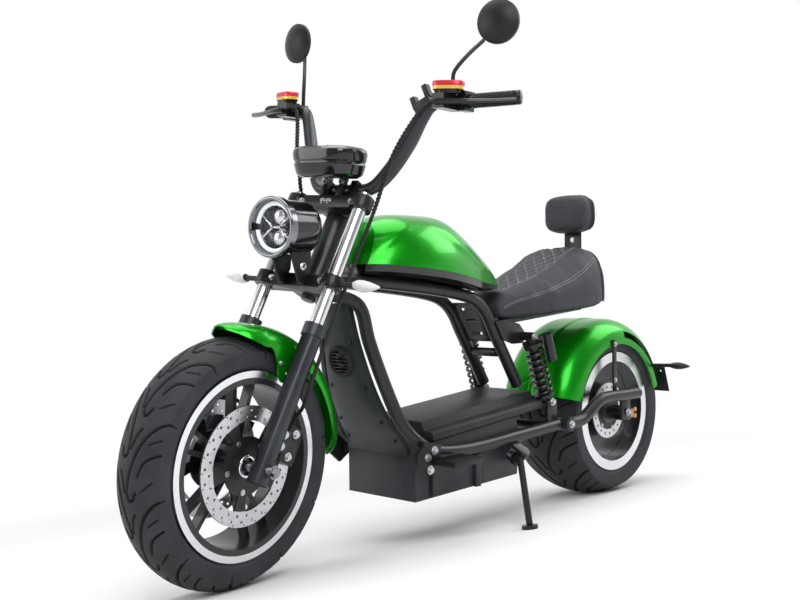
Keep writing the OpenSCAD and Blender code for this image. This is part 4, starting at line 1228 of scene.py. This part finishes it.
# Bolts, screws and stitches, repeated by Geometry Nodes
def make_repeat_tree(name, kind):
    """A tree that puts a bolt, a screw or a stitch on each point, turned along the point's facing."""
    tree = bpy.data.node_groups.new(name, "GeometryNodeTree")
    inputs = [("Points", "NodeSocketGeometry"), ("Radius", "NodeSocketFloat"),
              ("Length", "NodeSocketFloat"), ("Finish", "NodeSocketMaterial")]
    for label, socket in inputs:
        tree.interface.new_socket(label, in_out="INPUT", socket_type=socket)
    tree.interface.new_socket("Result", in_out="OUTPUT", socket_type="NodeSocketGeometry")
    nodes = Nodes(tree)
    start = tree.nodes.new("NodeGroupInput").outputs
    points, radius, length, finish = (Value(nodes, start[label]) for label, _ in inputs)
    if kind == "stitch":
        ball = nodes.make("GeometryNodeMeshIcoSphere", {}, {"Radius": 1.0, "Subdivisions": 2})
        size = nodes.make("ShaderNodeCombineXYZ", {}, {0: radius, 1: radius, 2: length})
        shape = nodes.make("GeometryNodeTransform", {}, {"Geometry": ball, "Scale": size})
    else:
        sides = 6 if kind == "bolt" else 18
        head = nodes.make("GeometryNodeMeshCylinder", {},
                          {"Vertices": sides, "Radius": radius, "Depth": length})
        washer = nodes.make("GeometryNodeMeshCylinder", {},
                            {"Vertices": 20, "Radius": radius * 1.4, "Depth": length * 0.7})
        lift = nodes.make("ShaderNodeCombineXYZ", {}, {2: length})
        raised = nodes.make("GeometryNodeTransform", {}, {"Geometry": head, "Translation": lift})
        joined = tree.nodes.new("GeometryNodeJoinGeometry")
        nodes.link(raised, joined.inputs[0])
        nodes.link(washer, joined.inputs[0])
        shape = Value(nodes, joined.outputs[0])
    facing = nodes.make("GeometryNodeInputNamedAttribute", {"data_type": "FLOAT_VECTOR"}, {"Name": "facing"})
    turned = nodes.make("FunctionNodeAlignRotationToVector", {"axis": "Z"}, {"Vector": facing})
    placed = nodes.make("GeometryNodeInstanceOnPoints", {},
                        {"Points": points, "Instance": shape, "Rotation": turned})
    real = nodes.make("GeometryNodeRealizeInstances", {}, {0: placed})
    dressed = nodes.make("GeometryNodeSetMaterial", {}, {"Geometry": real, "Material": finish})
    nodes.link(dressed, tree.nodes.new("NodeGroupOutput").inputs[0])
    return tree


REPEAT_TREES = {kind: make_repeat_tree("repeat_" + kind, kind) for kind in ("bolt", "screw", "stitch")}


def repeat(name, kind, spots, radius, length, finish, body):
    """One piece of many bolts, screws or stitches at places given with their facing, in metres."""
    mesh = bpy.data.meshes.new(name)
    mesh.from_pydata([tuple(p) for p, _ in spots], [], [])
    facing = mesh.attributes.new("facing", "FLOAT_VECTOR", "POINT")
    facing.data.foreach_set("vector", [c for _, d in spots for c in d])
    piece = add_object(name, mesh)
    modifier = piece.modifiers.new("repeat", "NODES")
    modifier.node_group = REPEAT_TREES[kind]
    names = {item.name: item.identifier for item in modifier.node_group.interface.items_tree
             if item.in_out == "INPUT"}
    modifier[names["Radius"]] = radius * MM
    modifier[names["Length"]] = length * MM
    modifier[names["Finish"]] = finish.material
    apply_modifiers(piece)
    shade(piece, 35)
    settle(piece, body)


def spots_on(place, rows):
    """Places and facings in metres from points and directions in a piece's own frame."""
    turned = place.to_3x3()
    return [(place @ Vector(p), (turned @ Vector(d)).normalized()) for p, d in rows]


def both(rows):
    """Rows of points and directions on both sides."""
    return rows + [((p[0], -p[1], p[2]), (d[0], -d[1], d[2])) for p, d in rows]


def ring_rows(count, radius, y, start):
    """Places on a circle about the wheel's axle."""
    rows = []
    for i in range(count):
        angle = 2 * math.pi * i / count + start
        rows.append(((radius * math.cos(angle), y, radius * math.sin(angle)), (0, 1, 0)))
    return rows


def make_bolts():
    """The bolts and screws that show."""
    out = (0, 1, 0)
    fork = both([((-62, 88, 48), out), ((-62, 88, 96), out), ((-30, 90, 60), out), ((-30, 90, 84), out)])
    repeat("fork_bolts", "bolt", spots_on(ON_FORK, fork), 6.5, 4, STEEL, "fork")
    repeat("axle_nuts", "bolt", spots_on(ON_FORK, both([((0, 125, 0), out)])), 10, 6, RING, "fork")
    ahead = (1, 0, 0)
    clamp = both([((12, 70, LOWER_CLAMP), ahead), ((12, 70, UPPER_CLAMP), ahead),
                  ((12, 8, UPPER_CLAMP), ahead), ((11, 22.5, 650), ahead)])
    repeat("clamp_bolts", "bolt", spots_on(ON_FORK, clamp), 5, 3.5, STEEL, "fork")
    lamp = both([((1112, 31, 650), out)])
    repeat("lamp_bolts", "bolt", spots_on(ON_BARS, lamp), 6, 4, CHROME, "fork")
    disc = both(ring_rows(5, 52, 51, math.pi / 5))
    repeat("front_disc_bolts", "screw", spots_on(ON_FORK, disc), 4.5, 1.2, STEEL, "front_wheel")
    rear = ring_rows(6, 52, 74, 0.2)
    repeat("rear_disc_bolts", "screw", spots_on(ON_REAR_WHEEL, rear), 4, 2, STEEL, "rear_wheel")
    plate_y = RAIL_HALF + TUBE_R + 10
    chassis = both([((300, 155, 238), out), ((404, 116.6, 468), out), ((345, 128, 298), out),
                    ((0, 137, 238), out), ((846, plate_y, 222), out), ((824, plate_y, 236), out),
                    ((838, plate_y, 194), out)])
    repeat("frame_bolts", "bolt", spots_on(ON_FRAME, chassis), 7, 4.5, STEEL, "chassis")
    small = both([((42, 124.4, 430), out), ((42, 124.4, 330), out)])
    small.append(((61.7, 0, 722), ahead))
    repeat("fender_bolts", "screw", spots_on(ON_FRAME, small), 5, 2.5, STEEL, "chassis")
    panel = []
    for z, x, half in PANEL_STATIONS[1:5]:
        panel.append(((x + 4, half - 14, z), (0.95, 0.1, 0.2)))
    repeat("panel_screws", "screw", spots_on(ON_FRAME, both(panel)), 3.6, 2, BLACK, "chassis")


STITCH_PITCH = 5.2
STITCH_LIFT = 0.0004
ABOVE_SEAT = 760


def make_seat_stitches():
    """Pale stitches along the diamond seams and the border of the quilted middle."""
    seat = bpy.data.objects["saddle"]
    down = ON_FRAME.to_3x3() @ Vector((0, 0, -1))
    down.normalize()

    def on_seat(x, y):
        start = ON_FRAME @ Vector((x, y, ABOVE_SEAT))
        hit, spot, normal, _ = seat.ray_cast(start, down)
        return spot + normal * STITCH_LIFT if hit else None

    lines = []
    for side in (1, -1):
        for inset in (-4, 4):
            lines.append([(x, side * (quilt_edge(x) + inset))
                          for x in np.arange(QUILT_BACK, QUILT_FRONT, 1.0)])
    reach = QUILT_FRONT + QUILT_HALF * DIAMOND_LEAN
    for lean in (1, -1):
        for k in range(int((QUILT_BACK - 110) // DIAMOND), int(reach // DIAMOND) + 1):
            row = []
            for y in np.arange(-QUILT_HALF, QUILT_HALF, 0.7):
                x = k * DIAMOND - lean * DIAMOND_LEAN * y
                if QUILT_BACK < x < QUILT_FRONT and abs(y) < quilt_edge(x) - 2:
                    row.append((x, y))
            if len(row) > 8:
                lines.append(row)
    spots = []
    for row in lines:
        walked = 0.0
        for first, second in zip(row[:-1], row[1:]):
            walked += math.dist(first, second)
            if walked < STITCH_PITCH:
                continue
            walked = 0.0
            a = on_seat(*first)
            b = on_seat(*second)
            if a is not None and b is not None and (b - a).length < 0.004:
                spots.append((a, (b - a).normalized()))
    repeat("seat_stitches", "stitch", spots, 0.55, 1.9, THREAD, "chassis")


# CAD nodes that keep their form: their body, slot and width of softened edges
PLAIN_NODES = {
    "head_tube": ("chassis", "frame_paint", 0.0),
    "stanchions": ("fork", "chrome", 0.0),
    "fork_legs": ("fork", "fork_paint", 0.0),
    "front_axle": ("fork", "steel", 0.0),
    "rear_fender": ("chassis", "green_shell", 0.0),
    "headlight_bucket": ("fork", "gloss_black", 0.0),
    "headlight_ring": ("fork", "chrome", 0.0),
    "mirrors": ("fork", "black_parts", 0.0),
    "rear_shocks": ("chassis", "black_parts", 0.0),
    "side_stand": ("stand", "frame_paint", 0.0),
    "front_wheel_casting": ("front_wheel", "cast_black", 0.0),
    "front_discs": ("front_wheel", "steel", 0.0),
    "rear_hub_motor": ("rear_wheel", "motor_metal", 0.0),
    "rear_disc": ("rear_wheel", "steel", 0.0),
    "bar_controls": ("fork", "black_parts", 0.0),
    "battery_case": ("chassis", "dark_plastic", 1.2),
    "floor_deck": ("chassis", "dark_plastic", 1.2),
    "front_calipers": ("fork", "black_parts", 1.2),
    "footrests": ("chassis", "black_parts", 1.2),
    "front_brackets": ("fork", "black_parts", 1.2),
    "frame_brackets": ("chassis", "frame_paint", 1.2),
    "backrest_post": ("chassis", "frame_paint", 1.2),
    "plate_bracket": ("chassis", "black_parts", 1.2),
    "fork_clamps": ("fork", "black_parts", 1.2),
    "rear_axle": ("chassis", "frame_paint", 1.2),
    "stand_bracket": ("chassis", "frame_paint", 1.2),
    "tail_light": ("chassis", "lamp_red", 1.2),
}


def finish_nodes():
    """Copies of the plain nodes, with merged points, smooth round faces and softened edges."""
    for node, (body, slot, edge) in PLAIN_NODES.items():
        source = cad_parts[node]
        mesh = source.data.copy()
        mesh.transform(source.matrix_world)
        piece = add_object(node + "_finished", mesh)
        work = bmesh.new()
        work.from_mesh(mesh)
        bmesh.ops.remove_doubles(work, verts=work.verts, dist=1e-5)
        bmesh.ops.dissolve_limit(work, angle_limit=math.radians(0.5), verts=work.verts, edges=work.edges)
        work.to_mesh(mesh)
        work.free()
        if edge:
            soften(piece, edge, 50)
        shade(piece, 32)
        settle(piece, body, node)


# Front fender with its rounded ends and side flaps, and the rear fender's rib
FENDER_R = 280
FENDER_HALF = 70.7
FENDER_CORNER = 40
# Angle along the fender, share of the full width, and radius of the lower edge
FENDER_PLAN = [(83, 0.3, 272), (86, 0.62, 264), (90, 0.86, 252), (96, 0.98, 240), (101, 1, 237),
               (106, 1, 212), (110, 1, 186), (115, 1, 178), (120, 1, 192), (127, 1, 228), (136, 1, 237),
               (165, 1, 238), (175, 0.97, 242), (181, 0.8, 256), (184, 0.5, 268)]
REAR_FENDER_AT = (12, 0, 236)
REAR_FENDER_R = 262
# Height above the rear fender and place across it of the rib's section
REAR_RIB = [(-1, 13), (1.6, 10), (2, 8), (2, -8), (1.6, -10), (-1, -13)]


def fender_ring(angle, share, edge, inside):
    """One section of the front fender, from its left edge over the crown to the right edge."""
    half = FENDER_HALF * share - inside
    top = FENDER_R - inside
    corner = min(FENDER_CORNER - inside, half * 0.8)
    left = []
    for k in range(13):
        r = top - (top - edge) * (1 - k / 12) ** 2
        over = max(r - (top - corner), 0)
        left.append((r, half - corner + math.sqrt(max(corner ** 2 - over ** 2, 0))))
    crown = [(top + 1.5 * (1 - t * t) * (inside == 0), (half - corner) * t)
             for t in np.linspace(0.8, -0.8, 7)]
    section = left + crown + [(r, -y) for r, y in reversed(left)]
    return [about_y(r, y, angle) for r, y in section]


def make_fenders():
    """Front fender shell and the raised rib on the rear one."""
    rings = []
    for angle, share, edge in smooth_line(FENDER_PLAN, 6):
        share = min(share, 1)
        outer = fender_ring(angle, share, edge, 0)
        inner = fender_ring(angle, share, edge, 3)
        rings.append(outer + inner[::-1])
    place = ON_FORK @ turn("Y", RAKE)
    skin_piece("front_fender_shell", "front_fender", [rings], PAINT, "fork", place, 50)
    flaps = [(about_y(reach, FENDER_HALF, angle), (0, 1, 0)) for angle, reach in ((109, 214), (116, 198))]
    repeat("fender_flap_bolts", "bolt", spots_on(place, both(flaps)), 4, 2.5, STEEL, "fork")
    rib = [[about_y(REAR_FENDER_R + up, y, angle) for up, y in REAR_RIB]
           for angle in np.linspace(16, 162, 74)]
    skin_piece("rear_fender_rib", None, [rib], PAINT, "chassis",
               ON_FRAME @ move(*REAR_FENDER_AT), 30)


# Rear caliper, hub rings and footrest pads
BOX_FACES = [(0, 1, 3, 2), (4, 6, 7, 5), (0, 4, 5, 1), (2, 3, 7, 6), (0, 2, 6, 4), (1, 5, 7, 3)]
CALIPER_BODY = [((-60, 80, 209), (-23, 112, 250)), ((-50, 112, 216), (-28, 122, 246))]
CALIPER_ARMS = [((-56, 113, 222), (-51, 128, 228)), ((-47, 122.3, 219), (-31, 128, 243))]
PISTON = [(122, 0.4), (122, 6.5), (128.5, 6.5), (129.6, 5), (129.6, 0.4)]
RIB_FROM = (740, 150.6, 216.6)
RIB_PITCH = 12
RIB_LONG = 65
HUB_RING = [(51.2, 17), (51.2, 24), (54.2, 23), (55.2, 20), (54.2, 17.5)]


def box_piece(name, corners, finish, body, place, edge=1.5):
    """Boxes with softened edges, each from its low and high corner."""
    points = []
    faces = []
    for low, high in corners:
        base = len(points)
        points += [(x, y, z) for x in (low[0], high[0]) for y in (low[1], high[1])
                   for z in (low[2], high[2])]
        faces += [tuple(base + k for k in face) for face in BOX_FACES]
    piece = make_piece(name, points, faces, finish, None, place)
    recalculate(piece)
    soften(piece, edge, 30)
    shade(piece, 32)
    settle(piece, body)
    return piece


def make_small_parts():
    """Rear caliper, hub rings and footrest pads."""
    body = box_piece("rear_caliper_body", CALIPER_BODY, CAST, "chassis", ON_FRAME, 3)
    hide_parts("rear_caliper")
    arms = box_piece("rear_caliper_arms", CALIPER_ARMS, COPPER, "chassis", ON_FRAME, 1)
    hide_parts("rear_caliper")
    for height, name in ((240, "upper"), (222, "lower")):
        place = ON_FRAME @ move(-55, 0, height)
        piston = lathe("rear_caliper_piston_" + name, PISTON, COPPER, "chassis", place, 24, "Y")
        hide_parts("rear_caliper")
    for side, name in ((1, "left"), (-1, "right")):
        ring = [(side * y, r) for y, r in HUB_RING]
        lathe("front_hub_ring_" + name, ring, CHROME, "front_wheel", ON_FORK, 40, "Y")
        x, y, z = RIB_FROM
        low = y if side > 0 else -y - RIB_LONG
        ribs = [[(x + RIB_PITCH * k, low, z), (x + RIB_PITCH * k, low + RIB_LONG, z)] for k in range(8)]
        tube_piece("footrest_ribs_" + name, ribs, 2.4, RUBBER, "chassis", ON_FRAME, 8)


# Fluid cups on the brake cylinders and the clip at the left bar
CUP_AT = (893, 233, 1024)
CUP_RINGS = [(0, 0.86), (6, 0.92), (8.6, 1), (16.4, 1), (17, 1.04), (24, 1.04), (26.4, 0.98), (27, 0.9)]
CUP_LONG = 33
CUP_WIDE = 19
CLIP = [((-14, -22, -8), (10, 22, 14)), ((-12, 12, 12), (6, 24, 42)), ((-12, -26, 2), (6, -14, 32))]


def make_cups():
    """Wide fluid cups with their coloured bands, and a two-armed clip."""
    for side, name in ((1, "left"), (-1, "right")):
        way = Vector((GRIP_OUT.x - GRIP_IN.x, side * (GRIP_OUT.y - GRIP_IN.y), 0)).normalized()
        across = Vector((-way.y, way.x, 0))
        centre = Vector((CUP_AT[0], side * CUP_AT[1], CUP_AT[2]))
        rings = []
        for up, share in CUP_RINGS:
            ring = []
            for a in circle(48):
                far = CUP_LONG * share * bulge(math.cos(a), 3.2)
                wide = CUP_WIDE * share * bulge(math.sin(a), 3.2)
                out = way * far + across * wide
                ring.append(tuple(centre + out + Vector((0, 0, up))))
            rings.append(ring)
        skin_piece("fluid_cup_" + name, None, [rings], CUP, "fork", ON_BARS, 35)
    place = ON_BARS @ move(886, 166, 1002) @ turn("X", 26)
    box_piece("bar_clip", CLIP, BLACK, "fork", place)


# Seams and piping of the saddle
PIPING_X = 92
SHOULDER_X = [96, 180, 330, 466]
SHOULDER_ANGLES = [44, 34, 30, 26]
SHOULDER_PITCH = 4.6


def seat_section(x, angle):
    """A point on the saddle's drawn skin at an angle of its section."""
    low, high, half = spread(SEAT_STATIONS, x)
    a = math.radians(angle)
    return Vector((x, half * bulge(math.cos(a), 4), low + (high - low) * bulge(math.sin(a), 3.2)))


def on_skin(piece, point, lift):
    """The place on a piece's skin that is nearest to a point, lifted a little, in metres."""
    _, spot, normal, _ = piece.closest_point_on_mesh(ON_FRAME @ point)
    return spot + normal * lift


def make_seat_seams():
    """Double stitches along the saddle's shoulders, and piping round its rear edge and the backrest."""
    seat = bpy.data.objects["saddle"]
    spots = []
    for side in (1, -1):
        for turn_at in (0, 5):
            last = None
            for x in np.arange(SHOULDER_X[0], SHOULDER_X[-1], SHOULDER_PITCH):
                angle = float(np.interp(x, SHOULDER_X, SHOULDER_ANGLES)) + turn_at
                here = seat_section(x, angle if side > 0 else 180 - angle)
                spot = on_skin(seat, here, 0.0003)
                if last is not None:
                    spots.append(((spot + last) / 2, (spot - last).normalized()))
                last = spot
    repeat("seat_side_stitches", "stitch", spots, 0.6, 1.8, THREAD, "chassis")
    back = ON_FRAME.inverted()
    piping = [tuple(back @ on_skin(seat, seat_section(PIPING_X, angle), 0.001))
              for angle in np.linspace(8, 172, 80)]
    tube_piece("seat_piping", [piping], 2.6, LEATHER_DARK, "chassis", ON_FRAME, 8)
    cushion = bpy.data.objects["backrest_cushion"]
    edge = []
    for k in range(65):
        angle = 2 * math.pi * k / 64
        near = Vector((70, 76 * bulge(math.cos(angle), 4), 794 + 58 * bulge(math.sin(angle), 4)))
        edge.append(tuple(back @ on_skin(cushion, near, 0.0004)))
    tube_piece("backrest_piping", [edge], 1.8, LEATHER_DARK, "chassis", ON_FRAME, 8)


# Stage and light
SEEN = ("Is Camera Ray", "Is Glossy Ray", "Is Transmission Ray")
# The white backdrop stands behind the vehicle, away from the camera
BACKDROP_WAY = (-0.72, -0.69)


def make_stage():
    """Pale floor and soft studio light."""
    floor_mesh = bpy.data.meshes.new("floor")
    reach = 30
    corners = [(-reach, -reach, 0), (reach, -reach, 0), (reach, reach, 0), (-reach, reach, 0)]
    floor_mesh.from_pydata(corners, [], [(0, 1, 2, 3)])
    pale = Finish("pale_floor", Roughness=0.9)
    point = pale.coordinates()
    grain = pale.noise(point, 2.0)
    pale.set(Base_Color=pale.mix(grain, (0.93, 0.93, 0.93), (0.95, 0.95, 0.95)))
    x, y, _ = pale.split(point)
    far = pale.step(pale.length(x, y), 1.2, 2.6)
    camera, gloss, clear = pale.rays()
    seen = pale.math("MAXIMUM", pale.math("MAXIMUM", camera, gloss), clear)
    glow = pale.tree.nodes.new("ShaderNodeEmission")
    pale.blend(far * seen, pale.shader, glow, "Material Output")
    floor_mesh.materials.append(pale.material)
    add_object("floor", floor_mesh)

    world = bpy.data.worlds.new("studio")
    world.use_nodes = True
    studio = Nodes(world.node_tree)
    soft = studio.tree.nodes["Background"]
    soft.inputs[0].default_value = (0.9, 0.92, 0.95, 1)
    soft.inputs[1].default_value = 0.38
    white = studio.tree.nodes.new("ShaderNodeBackground")
    white.inputs[0].default_value = (1, 1, 1, 1)
    ways = studio.split(studio.make("ShaderNodeTexCoord", {}, {}, "Generated"))
    ahead = ways[0] * BACKDROP_WAY[0] + ways[1] * BACKDROP_WAY[1]
    backdrop = studio.step(ahead, -0.35, 0.45)
    camera, gloss, clear = studio.rays()
    shown = studio.math("MAXIMUM", camera, clear)
    studio.blend(studio.math("MAXIMUM", shown, gloss * backdrop), soft, white, "World Output")
    bpy.context.scene.world = world

    lamps = [("key_light", (1.9, 2.6, 2.6), 2.2, 80), ("fill_light", (2.8, -1.6, 1.8), 2.0, 32),
             ("rear_light", (-2.4, 1.2, 2.2), 1.8, 36), ("top_light", (0, 0, 3.4), 2.6, 60)]
    for name, spot, size, power in lamps:
        data = bpy.data.lights.new(name, "AREA")
        data.size = size
        data.energy = power
        lamp = add_object(name, data)
        lamp.location = spot
        lamp.rotation_euler = (Vector((0, 0, 0.5)) - Vector(spot)).to_track_quat("-Z", "Y").to_euler()


make_camera()
dress_nodes()
make_tyres()
make_tubes()
make_tank()
make_front_panel()
make_pod()
make_signals()
make_hoses()
make_grips()
make_headlight()
make_pads()
make_seat_stitches()
make_seat_seams()
make_fenders()
make_small_parts()
make_cups()
make_bolts()
finish_nodes()
make_stage()
bpy.context.scene.view_settings.view_transform = "Standard"
